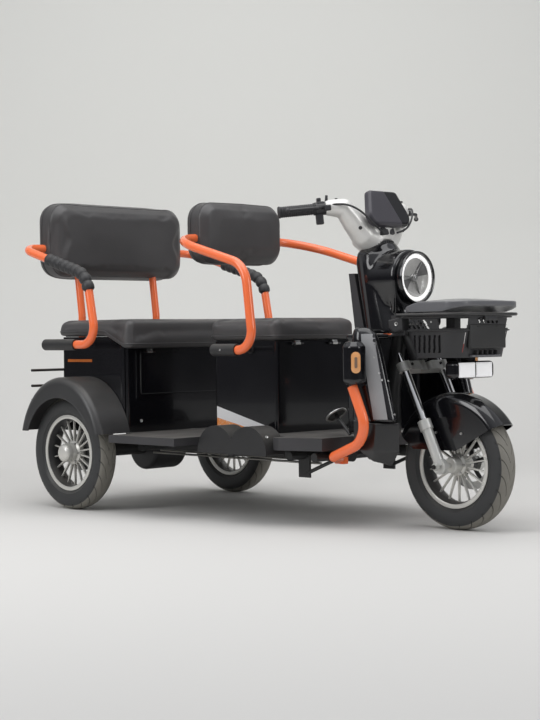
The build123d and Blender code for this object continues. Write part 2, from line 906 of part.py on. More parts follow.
def hinge_knuckles(spread, wall_y, seam):
    """Two pins with a bracket at each end, on the wall below a lid's seam."""
    y, z = hinge_place(wall_y, seam)
    inner = spread - hinge_barrel / 2 - 1
    outer = spread + hinge_barrel / 2 + 1
    left = cylinder_x(hinge_pin_radius, inner, outer, y, z)
    for x0 in (inner - hinge_knuckle, outer):
        left += cylinder_x(hinge_radius, x0, x0 + hinge_knuckle, y, z)
        left += block(x0, x0 + hinge_knuckle, y, wall_y + 1, z - hinge_radius, z + hinge_radius)
    return left + mirror(left, about=Plane.YZ)


# ---------------------------------------------------------------- driver's seat
def driver_seat_box():
    """Hollow box under the driver's cushion, open on top."""
    half = driver_box_half_width
    wall = box_wall
    low = rail_height + rail_radius + part_gap
    high = driver_seam_height - part_gap
    y0 = driver_box_front
    y1 = driver_box_rear
    body = block(-half, half, y0, y1, low, high)
    body = fillet(body.edges().filter_by(Axis.Z), box_corner)
    body -= block(wall - half, half - wall, y0 + wall, y1 - wall, low + wall, high + 1)
    return body + hinge_knuckles(driver_box_half_width / 2, driver_box_front, driver_seam_height)


def battery_pack():
    """Battery as one plain block in the bottom of the driver's seat box."""
    low = rail_height + rail_radius + part_gap + box_wall + part_gap
    half = driver_box_half_width - battery_inset
    y0 = driver_box_front + battery_inset
    return block(-half, half, y0, driver_box_rear - battery_inset, low, low + battery_height)


def driver_cushion():
    """Driver's cushion, which is also the box's lid."""
    half = driver_box_half_width + cushion_overhang
    y0 = driver_box_front - cushion_overhang
    y1 = driver_box_rear + cushion_overhang
    bottom = driver_seam_height + part_gap
    body = block(-half, half, y0, y1, bottom, driver_seam_height + driver_cushion_thickness)
    body = fillet(body.edges().filter_by(Axis.Z), cushion_corner)
    body = fillet(body.faces().sort_by(Axis.Z)[-1].edges(), cushion_rounding)
    return body + hinge_barrels(driver_box_half_width / 2, driver_box_front, driver_seam_height, bottom)


# ---------------------------------------------------------------- backrests and armrests
def backrest(half, face, thickness, low, high):
    """Rounded padded backrest."""
    plane = Plane(origin=(0, face, (low + high) / 2), x_dir=(1, 0, 0), z_dir=(0, 1, 0))
    body = plane * extrude(RectangleRounded(2 * half, high - low, backrest_corner), thickness)
    rims = body.faces().sort_by(Axis.Y)
    return fillet([*rims[0].edges(), *rims[-1].edges()], backrest_fillet)


def armrest_route(x, sleeve_z, sleeve_rear, knee, elbow, crossbar):
    """Corners of an armrest tube, from the left sleeve over the backrest to the right one."""
    left = [(x, sleeve_rear - sleeve_plug, sleeve_z), (x, knee, sleeve_z), (x, *elbow), (x, *crossbar)]
    return left + [(-x, y, z) for _, y, z in reversed(left)]


def armrest_bends(plan_bend):
    """Bend radii of an armrest tube at its six corners."""
    left = [knee_bend, elbow_bend, plan_bend]
    return left + left[::-1]


def driver_armrest_route():
    """Corners of the driver's armrest tube."""
    sleeve_z = driver_seam_height - sleeve_drop
    return armrest_route(
        driver_armrest_x, sleeve_z, driver_sleeve[1], driver_knee, driver_elbow, driver_crossbar
    )


def rear_armrest_route():
    """Corners of the passengers' armrest tube."""
    return armrest_route(
        rear_armrest_x,
        rear_seam_top - sleeve_drop,
        rear_axle_y + rear_sleeve[1],
        rear_axle_y + rear_knee,
        from_rear_axle(rear_elbow),
        from_rear_axle(rear_crossbar),
    )


def from_rear_axle(place):
    """A (y, z) place whose y is measured from the rear axle."""
    return rear_axle_y + place[0], place[1]


def armrest(route, plan_bend, margin=0):
    """Armrest tube along its route, grown by a margin."""
    return tube(route, armrest_radius + margin, armrest_bends(plan_bend))


def driver_backrest():
    """Driver's backrest, carried by the armrest tube that runs through it."""
    body = backrest(
        driver_back_half_width, driver_back_face, driver_back_thickness, driver_back_bottom, driver_back_top
    )
    return body - armrest(driver_armrest_route(), driver_plan_bend, running_clearance)


def rear_post_route():
    """Centre line of the left rear backrest post, which ends below the armrest tube."""
    half = post_spacing / 2
    top_y = rear_back_face_y + rear_back_thickness / 2
    top_z = rear_crossbar[1] - armrest_radius - post_tip_gap
    return [
        (half, post_foot_y, rail_kick_height + cross_radius + part_gap / 3),
        (half, post_foot_y, post_waist_height),
        (half, top_y, top_z),
    ]


def rear_backrest():
    """Passengers' backrest with sockets for its posts and its armrest tube."""
    body = backrest(
        rear_back_half_width, rear_back_face_y, rear_back_thickness, rear_back_bottom, rear_back_top
    )
    socket = tube(rear_post_route(), post_radius + running_clearance, elbow_bend)
    body -= socket
    body -= mirror(socket, about=Plane.YZ)
    return body - armrest(rear_armrest_route(), rear_plan_bend, running_clearance)


def rear_backrest_posts():
    """Two posts that carry the rear backrest, standing on the frame's rear loop."""
    return both(tube(rear_post_route(), post_radius, elbow_bend))


def armrest_sleeve(x, y0, y1, z, wall_x):
    """Sleeve over an armrest's lower end, with a stub and flange to the body's side."""
    foot_x = wall_x + seat_clearance
    stub_y = y1 - sleeve_radius
    body = cylinder_y(sleeve_radius, y0, y1, x, z)
    body += cylinder_x(stub_radius, foot_x, x, stub_y, z)
    body += cylinder_x(stub_radius + stub_flange, foot_x, foot_x + stub_flange_thickness, stub_y, z)
    return body - cylinder_y(armrest_radius, y0 - 1, y1 - sleeve_plug, x, z)


# ---------------------------------------------------------------- rear body
def seam_at(y):
    """Height of the seam between rear body and cushion: low at the front, higher at the rear."""
    start = rear_axle_y + seam_rise_start
    end = rear_axle_y + seam_rise_end
    share = min(max((y - start) / (end - start), 0), 1)
    return rear_seam_height + share * rear_seam_rise


def rear_body():
    """Hollow rear body: four walls and a raised floor, open on top."""
    half = body_half_width
    wall = box_wall
    rise_end = rear_axle_y + seam_rise_end
    outline = [
        (body_front_y, body_skirt),
        (body_front_y, seam_at(body_front_y) - part_gap),
        (rise_end, rear_seam_top - part_gap),
        (body_rear_y, rear_seam_top - part_gap),
        (body_rear_y, body_skirt),
    ]
    body = side_extrude(make_face(Polyline(*outline, close=True)), -half, half)
    body = fillet(body.edges().filter_by(Axis.Z).sort_by(Axis.Y)[:2], body_corner)
    y0 = body_front_y + wall
    body -= block(wall - half, half - wall, y0, body_rear_y - wall, body_floor, 2 * rear_seam_top)
    body -= block(wall - half, half - wall, y0, body_rear_y + 1, 0, body_floor - wall)
    return body + hinge_knuckles(2 * body_half_width / 3, body_front_y, rear_seam_height)


def rear_cushion():
    """Passengers' cushion, which is also the rear body's lid."""
    front = body_front_y - rear_cushion_nose
    rear = body_rear_y + rear_cushion_tail
    bottom = rear_seam_height + part_gap
    top = rear_seam_height + rear_cushion_thickness
    outline = [
        (front, bottom),
        (rear_axle_y + seam_rise_start, bottom),
        (rear_axle_y + seam_rise_end, rear_seam_top + part_gap),
        (rear, rear_seam_top + part_gap),
        (rear, top),
        (front, top),
    ]
    half = body_half_width + cushion_overhang
    body = side_extrude(make_face(Polyline(*outline, close=True)), -half, half)
    body = fillet(body.edges().filter_by(Axis.Z), cushion_rounding)
    body = fillet(body.faces().sort_by(Axis.Z)[-1].edges(), cushion_rounding - 2)
    return body + hinge_barrels(2 * body_half_width / 3, body_front_y, rear_seam_height, bottom)


def tail_lamps():
    """Two lamps on the rear wall."""
    y0 = body_rear_y + seat_clearance
    y1 = y0 + tail_lamp_depth
    return both(block(tail_lamp_inner, tail_lamp_outer, y0, y1, tail_lamp_low, tail_lamp_high))


def arch_outline(half_length, height, foot):
    """Half-ellipse over the rear wheel, cut off level at its foot."""
    arch = Pos(rear_axle_y, wheel_z) * Ellipse(half_length, height)
    keep = Pos(rear_axle_y, wheel_z + foot + height) * Rectangle(4 * half_length, 2 * height)
    return arch & keep


def rear_fender():
    """Wheel arch cover with a turned-down outer side."""
    wall = fender_side_wall
    x0 = body_half_width + part_gap
    x1 = fender_outer_x
    outer = side_extrude(arch_outline(arch_half_length, arch_height, arch_foot), x0, x1)
    crown = outer.faces().sort_by(Axis.X)[-1].edges().filter_by(GeomType.ELLIPSE)
    outer = fillet(crown, fender_side_rounding)
    deep = arch_foot - fender_side_rounding / 2
    inner = side_extrude(arch_outline(arch_half_length - wall, arch_height - wall, deep), x0 - 1, x1 - wall)
    inner_crown = inner.faces().sort_by(Axis.X)[-1].edges().filter_by(GeomType.ELLIPSE)
    inner = fillet(inner_crown, fender_side_rounding - wall)
    mouth = side_extrude(arch_outline(arch_lip_half_length, arch_lip_height, deep), x0, x1 + wall)
    return outer - inner - mouth


def rear_rack():
    """Three cross rods behind the body on two uprights and four arms."""
    low = rack_heights[0]
    high = rack_heights[-1]
    rods = [cylinder_x(rack_rod_radius, -rack_half_width, rack_half_width, rack_rod_y, z) for z in rack_heights]
    for x in (-rack_upright_x, rack_upright_x):
        rods.append(Pos(x, rack_rod_y, (low + high) / 2) * Cylinder(rack_rod_radius, high - low))
        rods.append(cylinder_y(rack_rod_radius, body_rear_y + part_gap, rack_rod_y, x, low))
        rods.append(cylinder_y(rack_rod_radius, body_rear_y + part_gap, rack_rod_y, x, high))
    body = rods[0]
    for rod in rods[1:]:
        body += rod
    return body


# ---------------------------------------------------------------- front body
def spine_outline(inset):
    """Side outline of the cowl behind the headlamp, parallel to the stem in front."""
    top = cover_foot - spine_top_gap - inset
    low = spine_low - 2 * inset
    front_low = stem_y(low) - (spine_front_margin - inset) / slope_cos
    return [
        (spine_low_rear - inset, low),
        stem_point(top, inset - spine_rear_margin),
        stem_point(top, spine_front_margin - inset),
        (front_low, low),
    ]


def spine_solid(inset):
    """Cowl body inset from its outside by a wall, with rounded front edges."""
    half = spine_half_width - inset
    body = side_extrude(make_face(Polyline(*spine_outline(inset), close=True)), -half, half)
    long_edges = body.edges().filter_by(Axis.X, reverse=True)
    return fillet(long_edges.sort_by(Axis.Y)[:2], spine_front_fillet - inset)


def front_cowl():
    """Glossy shell around the head tube, with the round headlamp housing in front."""
    wall = cowl_wall
    nacelle_rear = stem_y(lamp_height) + spine_rear_margin / 2
    ring_foot = steer_plane(cover_foot - spine_top_gap - wall)
    body = spine_solid(0)
    body += cylinder_y(nacelle_radius, nacelle_front, nacelle_rear - wall, 0, lamp_height)
    body += ring_foot * extrude(Circle(cover_ring_radius), spine_top_gap + wall - cover_ring_gap)
    body -= spine_solid(wall)
    body -= cylinder_y(nacelle_radius - wall, nacelle_front - 1, nacelle_rear - 2 * wall, 0, lamp_height)
    return body - steer_plane(head_tube_top) * extrude(Circle(head_tube_radius + part_gap), spine_half_width)


def headlamp():
    """Lens and light ring at the nacelle's mouth."""
    y0 = nacelle_front - lamp_front
    body = cylinder_y(lamp_radius, y0, y0 + lamp_depth, 0, lamp_height)
    return fillet(body.edges().filter_by(GeomType.CIRCLE).sort_by(Axis.Y)[0], lamp_rounding)


def inner_leg_panel():
    """Panel that faces the rider's knees, with a bag hook and key switch."""
    low = spine_low + part_gap
    front_top = spine_low_rear + (panel_top - spine_low) * tan(radians(rake)) / 2.2 + part_gap
    outline = [
        (spine_low_rear + 2 * part_gap, low),
        (front_top + 2 * part_gap, panel_top),
        (panel_rear_top, panel_top),
        (panel_rear_low, low),
    ]
    half = panel_half_width
    body = side_extrude(make_face(Polyline(*outline, close=True)), -half, half)
    hook_y = panel_rear_top - 2 * hook_radius
    hook_tip = hook_y + hook_reach
    hook = [(0, hook_y, hook_height), (0, hook_tip - 10, hook_height - 20), (0, hook_tip, hook_height)]
    body += tube(hook, hook_radius, 2 * hook_radius)
    key_rear = panel_rear_low + 3 * key_depth
    return body + cylinder_y(key_radius, panel_rear_low, key_rear, key_x, key_height)


def cheek(inner_outline, outer_outline):
    """Left cheek beside the wheel well, lofted between two side outlines."""
    return loft([side_face(inner_outline, shield_inner), side_face(outer_outline, shield_outer)])


def leg_shield():
    """Leg shield: two raked cheeks, the wall between them and a roof over the wheel well."""
    low = shield_break + part_gap
    outlines = [
        [(shield_rear, shield_top), (top_front, shield_top), (break_front, low), (shield_rear, low)]
        for top_front, break_front in zip(shield_top_front, shield_break_front)
    ]
    left = cheek(*outlines)
    crown_edges = left.edges().sort_by(Axis.Z)[-6:].filter_by(lambda edge: edge.length > 60)
    crown_edges = [edge for edge in crown_edges if edge.bounding_box().size.X > 50]
    left = fillet(crown_edges, shield_corner)
    wall_rear = well_wall_front + well_wall_thickness
    roof_low = well_wall_top - well_wall_thickness
    roof = block(well_roof_inner, shield_inner + 1, well_roof_front, wall_rear, roof_low, well_wall_top)
    link_low = shield_break + part_gap
    link = block(shield_inner - 4, shield_outer, shield_rear - 4, wall_rear, link_low, well_wall_top - shield_corner)
    left += roof + link
    wall = block(-shield_inner, shield_inner, well_wall_front, wall_rear, well_wall_bottom, well_wall_top)
    notch = down_tube_radius + 10
    notch_top = well_wall_bottom + 70
    wall -= block(-notch, notch, well_wall_front - 1, wall_rear + 1, well_wall_bottom - 1, notch_top)
    return wall + left + mirror(left, about=Plane.YZ)


def lower_cowl():
    """Lower part of the front body beside the tyre, with a fin below."""
    high = shield_break - part_gap
    outlines = [
        [
            (shield_rear, high),
            (break_front, high),
            (front, fin_front_height),
            (tip, fin_bottom + (0 if tip == fin_tip[0] else shield_corner / 2)),
            (fin_rear, heel_height),
            (shield_rear, heel_height + shield_corner / 2),
        ]
        for break_front, front, tip in zip(shield_break_front, fin_front, fin_tip)
    ]
    return both(cheek(*outlines))


def crash_bar():
    """Bent tube beside the leg shield, from the signal box down to the frame."""
    x = crash_bar_x
    points = [
        (x, crash_bar_top_y, signal_low - crash_bar_radius / 2),
        (x, *crash_bar_corner),
        (x - crash_bar_radius, *crash_bar_foot),
        (x - crash_flange_inset - signal_gap, *crash_bar_end),
    ]
    bar = tube(points, crash_bar_radius, crash_bar_bends)
    y, z = crash_bar_end
    half = crash_flange_length / 2
    x0 = x - crash_flange_inset - crash_flange_width
    flange = block(x0, x0 + crash_flange_width, y - half, y + half, z - crash_bar_radius, z + 6)
    return bar + flange


def signal_box():
    """Rounded turn signal housing on top of the crash bar."""
    x0 = shield_outer + signal_gap
    y0 = crash_bar_top_y - signal_ahead
    body = block(x0, x0 + signal_width, y0, y0 + signal_depth, signal_low, signal_low + signal_height)
    return fillet(body.edges().filter_by(Axis.Y), signal_rounding)


# ---------------------------------------------------------------- basket and lamps
def basket_plan(inset, draft, rear_draft, height):
    """Plan outline of the basket at a height: wide radii in front, small ones at the rear."""
    half = basket_half_width - draft - inset
    front = basket_front + draft + inset
    rear = basket_rear - rear_draft - inset
    outline = make_face(Polyline((-half, front), (half, front), (half, rear), (-half, rear), close=True))
    corners = outline.vertices().sort_by(Axis.Y)
    outline = fillet(corners[:2], basket_front_corner - inset)
    outline = fillet(outline.vertices().sort_by(Axis.Y)[-2:], basket_rear_corner - inset)
    return Pos(0, 0, height) * outline


def basket_hull(inset, low, high):
    """Tapered solid between the basket's bottom and its upper edge."""
    bottom = basket_plan(inset, basket_draft, basket_rear_draft, low)
    return loft([bottom, basket_plan(inset, 0, 0, high)])


def basket_tub():
    """Open tub with a band of windows above its ledge."""
    wall = basket_wall
    body = basket_hull(0, basket_bottom, basket_band)
    body -= basket_hull(wall, basket_bottom + wall, basket_band + 1)
    low = basket_rim + window_margin
    high = basket_band - window_margin
    middle = (basket_front + basket_rear) / 2
    body -= block(-200, 200, basket_front + basket_front_corner - 25, middle, low, high)
    half = basket_half_width - basket_front_corner
    return body - block(-half, half, basket_front - 9, basket_front + 9, low, high)


def basket_rack():
    """Round-bar ring under the lid, side plates and two arms back to the cowl."""
    half = basket_half_width + ring_overhang
    radius = rack_bar_radius
    ring_front = basket_front - ring_overhang
    ring = [(-half, rack_bar_y, ring_z), (-half, ring_front, ring_z)]
    ring += [(half, ring_front, ring_z), (half, rack_bar_y, ring_z)]
    body = tube(ring, radius, ring_bend)
    body += cylinder_x(radius, -half - radius, half + radius, rack_bar_y, ring_z)
    cowl_front = stem_y(rack_arm_height) - (spine_front_margin + radius) / slope_cos
    for x in (-rack_arm_x, rack_arm_x):
        arm = [(x, cowl_front, rack_arm_height), (x, rack_bar_y, rack_arm_height), (x, rack_bar_y, ring_z)]
        body += tube(arm, radius, 2 * radius)
    x0, x1 = rack_plate
    plate_rear = rack_bar_y + rack_plate_length - 2 * radius
    plate = block(x0, x1, rack_bar_y - radius / 2, plate_rear, basket_rim, ring_z)
    pocket = block(x0 + radius, x1 - radius, rack_bar_y + radius, plate_rear + 1, basket_rim + radius, ring_z - radius)
    plate -= pocket
    return body + plate + mirror(plate, about=Plane.YZ)


def basket_lid():
    """Moulded lid that rises to a flat top, clipped on the rack's rear bar."""
    low = ring_z + rack_bar_radius + part_gap
    rear = basket_rear + basket_wall
    front = basket_front - basket_wall - ring_overhang
    ramp = rear - lid_ramp
    outline = [
        (rear, low),
        (rear, low + lid_thickness),
        (ramp, low + lid_thickness + lid_rise),
        (front, low + lid_thickness + lid_rise),
        (front, low + lid_rise),
        (ramp, low + lid_rise - lid_overhang / 2),
    ]
    half = basket_half_width + lid_overhang
    body = side_extrude(make_face(Polyline(*outline, close=True)), -half, half)
    mask = Pos(0, (rear + front) / 2, low) * extrude(RectangleRounded(2 * half, rear - front, lid_corner), 90)
    body &= mask
    x0, x1 = lid_knuckle_x
    knuckle = cylinder_x(lid_knuckle_radius, x0, x1, rack_bar_y, ring_z)
    knuckle += block(x0, x1, rear - lid_knuckle_radius, rack_bar_y, ring_z, low + lid_thickness / 2)
    knuckle -= cylinder_x(rack_bar_radius + running_clearance, x0 - 1, x1 + 1, rack_bar_y, ring_z)
    return body + knuckle + mirror(knuckle, about=Plane.YZ)


def fog_lamps():
    """Twin lamp bar under the basket."""
    half = fog_width / 2
    top = fog_bottom + fog_height
    body = block(-half, half, fog_face, fog_face + fog_depth, fog_bottom, top)
    body = fillet(body.edges().filter_by(Axis.Y), fog_rounding)
    front = fog_face + fog_rounding
    rear = fog_face + fog_depth - fog_rounding
    return body + block(-fog_bracket_half, fog_bracket_half, front, rear, top, basket_bottom - seat_clearance)


def brake_pedal():
    """Round foot pedal on a slanted rod."""
    foot = (pedal_x, pedal_y - pedal_reach, front_board_top + pedal_rod_radius + 1)
    head = (pedal_x, pedal_y, pedal_height)
    plane = Plane(origin=head, x_dir=(1, 0, 0), z_dir=(0, 0.6, 0.8))
    return tube([foot, head], pedal_rod_radius, pedal_rod_radius) + plane * extrude(
        Circle(pedal_radius), pedal_rod_radius + 1
    )


# ---------------------------------------------------------------- output
def build_all():
    """Write every sub-part."""
    os.makedirs("parts", exist_ok=True)
    write("front_tyre", tyre(0, front_axle_y))
    write("front_rim", rim(0, front_axle_y, front_hub_radius, front_hub_half_length) + front_brake_disc())
    write("fork_bridge", fork_bridge())
    write("fork_stanchions", fork_stanchions())
    write("fork_sliders", fork_sliders())
    write("front_fender", front_fender())
    write("handlebar", handlebar())
    write("grips", grips())
    write("handlebar_cover", handlebar_cover())
    write("instrument_pod", instrument_pod())
    write("main_frame", frame())
    write("rear_axle_housing", rear_axle_housing())
    write("drive_motor", drive_motor())
    write("rear_leaf_springs", rear_leaf_springs())
    write("brake_rods", brake_rods())
    write("front_floor_board", front_floor_board())
    write("rear_floor_board", rear_floor_board())
    write("step_shells", both(step_shell()))
    write("driver_seat_box", driver_seat_box())
    write("battery_pack", battery_pack())
    write("driver_cushion", driver_cushion())
    write("driver_backrest", driver_backrest())
    write("driver_armrests", armrest(driver_armrest_route(), driver_plan_bend))
    write("rear_body", rear_body())
    write("rear_cushion", rear_cushion())
    write("rear_backrest", rear_backrest())
    write("rear_backrest_posts", rear_backrest_posts())
    write("rear_armrests", armrest(rear_armrest_route(), rear_plan_bend))
    write("tail_lamps", tail_lamps())
    write("rear_fenders", both(rear_fender()))
    write("rear_rack", rear_rack())
    write("front_cowl", front_cowl())
    write("headlamp", headlamp())
    write("leg_shield", leg_shield())
    write("lower_cowl", lower_cowl())
    write("inner_leg_panel", inner_leg_panel())
    write("crash_bars", both(crash_bar()))
    write("signal_boxes", both(signal_box()))
    write("basket_tub", basket_tub())
    write("basket_rack", basket_rack())
    write("basket_lid", basket_lid())
    write("fog_lamps", fog_lamps())
    write("brake_pedal", brake_pedal())
    for name, side in (("right", -1), ("left", 1)):
        write(f"{name}_rear_tyre", tyre(side * rear_wheel_x, rear_axle_y))
        write(f"{name}_rear_rim", rear_rim(side))
    driver_sleeves = armrest_sleeve(
        driver_armrest_x, *driver_sleeve, driver_seam_height - sleeve_drop, driver_box_half_width
    )
    write("driver_armrest_sleeves", both(driver_sleeves))
    sleeve_front, sleeve_rear = (rear_axle_y + place for place in rear_sleeve)
    rear_sleeves = armrest_sleeve(
        rear_armrest_x, sleeve_front, sleeve_rear, rear_seam_top - sleeve_drop, body_half_width
    )
    write("rear_armrest_sleeves", both(rear_sleeves))


build_all()
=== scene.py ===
import math

import bmesh
import bpy
from mathutils import Matrix, Vector
from mathutils.bvhtree import BVHTree


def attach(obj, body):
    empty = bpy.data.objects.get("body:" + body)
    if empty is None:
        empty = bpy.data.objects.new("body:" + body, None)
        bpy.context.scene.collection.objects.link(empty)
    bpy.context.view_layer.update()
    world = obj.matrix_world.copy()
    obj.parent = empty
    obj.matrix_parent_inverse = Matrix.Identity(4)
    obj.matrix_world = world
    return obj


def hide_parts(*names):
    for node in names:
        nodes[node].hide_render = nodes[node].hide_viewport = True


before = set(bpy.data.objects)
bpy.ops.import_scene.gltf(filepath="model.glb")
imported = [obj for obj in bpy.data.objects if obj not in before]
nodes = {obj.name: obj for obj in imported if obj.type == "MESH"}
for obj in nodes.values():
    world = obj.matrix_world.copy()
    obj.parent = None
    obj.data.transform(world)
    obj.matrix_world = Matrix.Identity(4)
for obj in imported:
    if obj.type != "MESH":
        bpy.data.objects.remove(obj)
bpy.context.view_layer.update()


# ---------------------------------------------------------------- studio
# A seamless pale grey paper floor that curves up into a wall, under three soft boxes and an even sky.
# The camera stands low on the vehicle's right front corner, as for a catalogue picture.
camera_place = Vector((-3.857, -3.878, 0.606))
camera_turn = math.radians(44.628)
camera_tilt = math.radians(-0.890)
camera_roll = math.radians(-0.733)
camera_lens = 79.6155
floor_colour = (0.665, 0.655, 0.632)
wall_colour = (0.800, 0.800, 0.765)
paper_half_width = 9
paper_front = -7
paper_rear = 2.9
paper_height = 6
paper_curve = 1.2
paper_fade = 1.1

ahead = Vector(
    (
        math.sin(camera_turn) * math.cos(camera_tilt),
        math.cos(camera_turn) * math.cos(camera_tilt),
        math.sin(camera_tilt),
    )
)
level_side = ahead.cross(Vector((0, 0, 1))).normalized()
level_up = level_side.cross(ahead)
side = level_side * math.cos(camera_roll) + level_up * math.sin(camera_roll)
up = level_up * math.cos(camera_roll) - level_side * math.sin(camera_roll)
camera_data = bpy.data.cameras.new("studio_camera")
camera_data.lens = camera_lens
camera_data.clip_end = 60


def show(name, data):
    """A new object at the origin that shows a mesh, a curve, a lamp or a camera."""
    made = bpy.data.objects.new(name, data)
    bpy.context.scene.collection.objects.link(made)
    return made


camera = show("studio_camera", camera_data)
turn = Matrix((side, up, -ahead)).transposed().to_4x4()
camera.matrix_world = Matrix.Translation(camera_place) @ turn
bpy.context.scene.camera = camera
bpy.context.scene.view_settings.view_transform = "Standard"


def finished_mesh(name, bm):
    """An object at the origin from a finished bmesh."""
    mesh = bpy.data.meshes.new(name)
    bm.to_mesh(mesh)
    bm.free()
    return show(name, mesh)


def add_node(tree, kind, values=None, **settings):
    """A shader node with its settings, its plain input values and its links from other sockets."""
    node = tree.nodes.new(f"ShaderNode{kind}")
    for label, value in settings.items():
        setattr(node, label, value)
    for label, value in (values or {}).items():
        if isinstance(value, bpy.types.NodeSocket):
            tree.links.new(value, node.inputs[label])
        else:
            node.inputs[label].default_value = value
    return node


def blend(tree, factor, first, second):
    """A colour between two colours or sockets."""
    mix = add_node(tree, "Mix", {"Factor": factor, "A": first, "B": second}, data_type="RGBA")
    return mix.outputs["Result"]


def place_sockets(tree):
    """The X, Y and Z of a place on the object."""
    place = add_node(tree, "TexCoord")
    parts = add_node(tree, "SeparateXYZ", {"Vector": place.outputs["Object"]})
    return parts.outputs["X"], parts.outputs["Y"], parts.outputs["Z"]


def plain_material(name):
    """A node material and its Principled shader."""
    material = bpy.data.materials.new(name)
    material.use_nodes = True
    shader = material.node_tree.nodes["Principled BSDF"]
    return material, shader


def lay_paper():
    """The paper sweep, square to the camera."""
    bm = bmesh.new()
    start = bm.verts.new((-paper_half_width, paper_front, 0))
    edge_end = bm.verts.new((-paper_half_width, paper_rear - paper_curve, 0))
    bm.edges.new((start, edge_end))
    centre = Vector((0, paper_rear - paper_curve, paper_curve))
    curve = bmesh.ops.spin(
        bm, geom=[edge_end], cent=centre, axis=(1, 0, 0), dvec=(0, 0, 0), angle=math.pi / 2, steps=16
    )
    last = [g for g in curve["geom_last"] if isinstance(g, bmesh.types.BMVert)][0]
    top = bmesh.ops.extrude_vert_indiv(bm, verts=[last])["verts"][0]
    top.co.z = paper_height
    wide = bmesh.ops.extrude_edge_only(bm, edges=bm.edges[:])
    moved = [g for g in wide["geom"] if isinstance(g, bmesh.types.BMVert)]
    bmesh.ops.translate(bm, verts=moved, vec=(2 * paper_half_width, 0, 0))
    bmesh.ops.rotate(
        bm, verts=bm.verts, cent=(0, 0, 0), matrix=Matrix.Rotation(-camera_turn, 3, "Z")
    )
    bmesh.ops.recalc_face_normals(bm, faces=bm.faces)
    paper = finished_mesh("studio_paper", bm)
    material, shader = plain_material("studio_paper")
    tree = material.node_tree
    _, _, height = place_sockets(tree)
    rise = add_node(tree, "MapRange", {"Value": height, "From Min": 0.0, "From Max": paper_fade})
    fade = blend(tree, rise.outputs["Result"], (*floor_colour, 1), (*wall_colour, 1))
    tree.links.new(fade, shader.inputs["Base Color"])
    shader.inputs["Roughness"].default_value = 0.9
    shader.inputs["Specular IOR Level"].default_value = 0.1
    clear = add_node(tree, "BsdfTransparent")
    behind = add_node(tree, "NewGeometry")
    sides = {"Fac": behind.outputs["Backfacing"], 1: clear.outputs["BSDF"], 2: shader.outputs["BSDF"]}
    choice = add_node(tree, "MixShader", sides)
    tree.links.new(choice.outputs["Shader"], tree.nodes["Material Output"].inputs["Surface"])
    paper.data.materials.append(material)
    for face in paper.data.polygons:
        face.use_smooth = True


def hang_soft_box(name, place, aim, width, height, power):
    """A rectangular soft box that points at a spot."""
    data = bpy.data.lights.new(name, "AREA")
    data.shape = "RECTANGLE"
    data.size = width
    data.size_y = height
    data.energy = power
    lamp = show(name, data)
    lamp.location = place
    lamp.rotation_euler = (Vector(aim) - Vector(place)).to_track_quat("-Z", "Y").to_euler()


lay_paper()
hang_soft_box("top_box", (-0.4, -0.3, 3.6), (0, 0, 0.4), 3.2, 3.6, 74)
hang_soft_box("side_box", (-3.6, 0.8, 2.3), (0, 0, 0.5), 1.4, 2.2, 44)
hang_soft_box("front_box", (1.0, -4.6, 2.0), (0, -0.4, 0.6), 1.2, 2.0, 40)
sky = bpy.data.worlds.new("studio_sky")
sky.use_nodes = True
sky_tree = sky.node_tree
sky_place = add_node(sky_tree, "TexCoord")
sky_parts = add_node(sky_tree, "SeparateXYZ", {"Vector": sky_place.outputs["Generated"]})
sky_fade = add_node(sky_tree, "ValToRGB", {"Fac": sky_parts.outputs["Z"]})
sky_stops = ((0.02, (0.10, 0.10, 0.11, 1)), (0.75, (0.93, 0.95, 1.0, 1)))
for stop, (stop_place, stop_colour) in zip(sky_fade.color_ramp.elements, sky_stops):
    stop.position, stop.color = stop_place, stop_colour
sky_light = sky_tree.nodes["Background"]
sky_tree.links.new(sky_fade.outputs["Color"], sky_light.inputs["Color"])
sky_light.inputs["Strength"].default_value = 0.72
bpy.context.scene.world = sky


# ---------------------------------------------------------------- frame and running gear
# Welded steel tubes with a satin black coat, the driven rear axle and its leaf springs.
# The tubes are butt welded, then painted as one piece, and gather road dust from below.
def new_group(name, inputs, outputs):
    """An empty shader node group with float inputs and outputs."""
    group = bpy.data.node_groups.new(name, "ShaderNodeTree")
    for label, value in inputs:
        socket = group.interface.new_socket(label, in_out="INPUT", socket_type="NodeSocketFloat")
        socket.default_value = value
    for label in outputs:
        group.interface.new_socket(label, in_out="OUTPUT", socket_type="NodeSocketFloat")
    return group, group.nodes.new("NodeGroupInput"), group.nodes.new("NodeGroupOutput")


def build_grain_group():
    """Fine surface grain and a slow variation in tone, on object coordinates."""
    group, entry, leave = new_group(
        "surface_grain", [("Scale", 200.0), ("Slow Scale", 6.0)], ["Height", "Tone"]
    )
    place = add_node(group, "TexCoord").outputs["Object"]
    for label, socket, detail in (("Scale", "Height", 3.0), ("Slow Scale", "Tone", 4.0)):
        values = {"Vector": place, "Scale": entry.outputs[label], "Detail": detail, "Roughness": 0.6}
        noise = add_node(group, "TexNoise", values)
        group.links.new(noise.outputs["Fac"], leave.inputs[socket])
    return group


def reckon(tree, operation, first, second=0.0):
    """A Math node on two sockets or numbers."""
    return add_node(tree, "Math", {0: first, 1: second}, operation=operation).outputs["Value"]


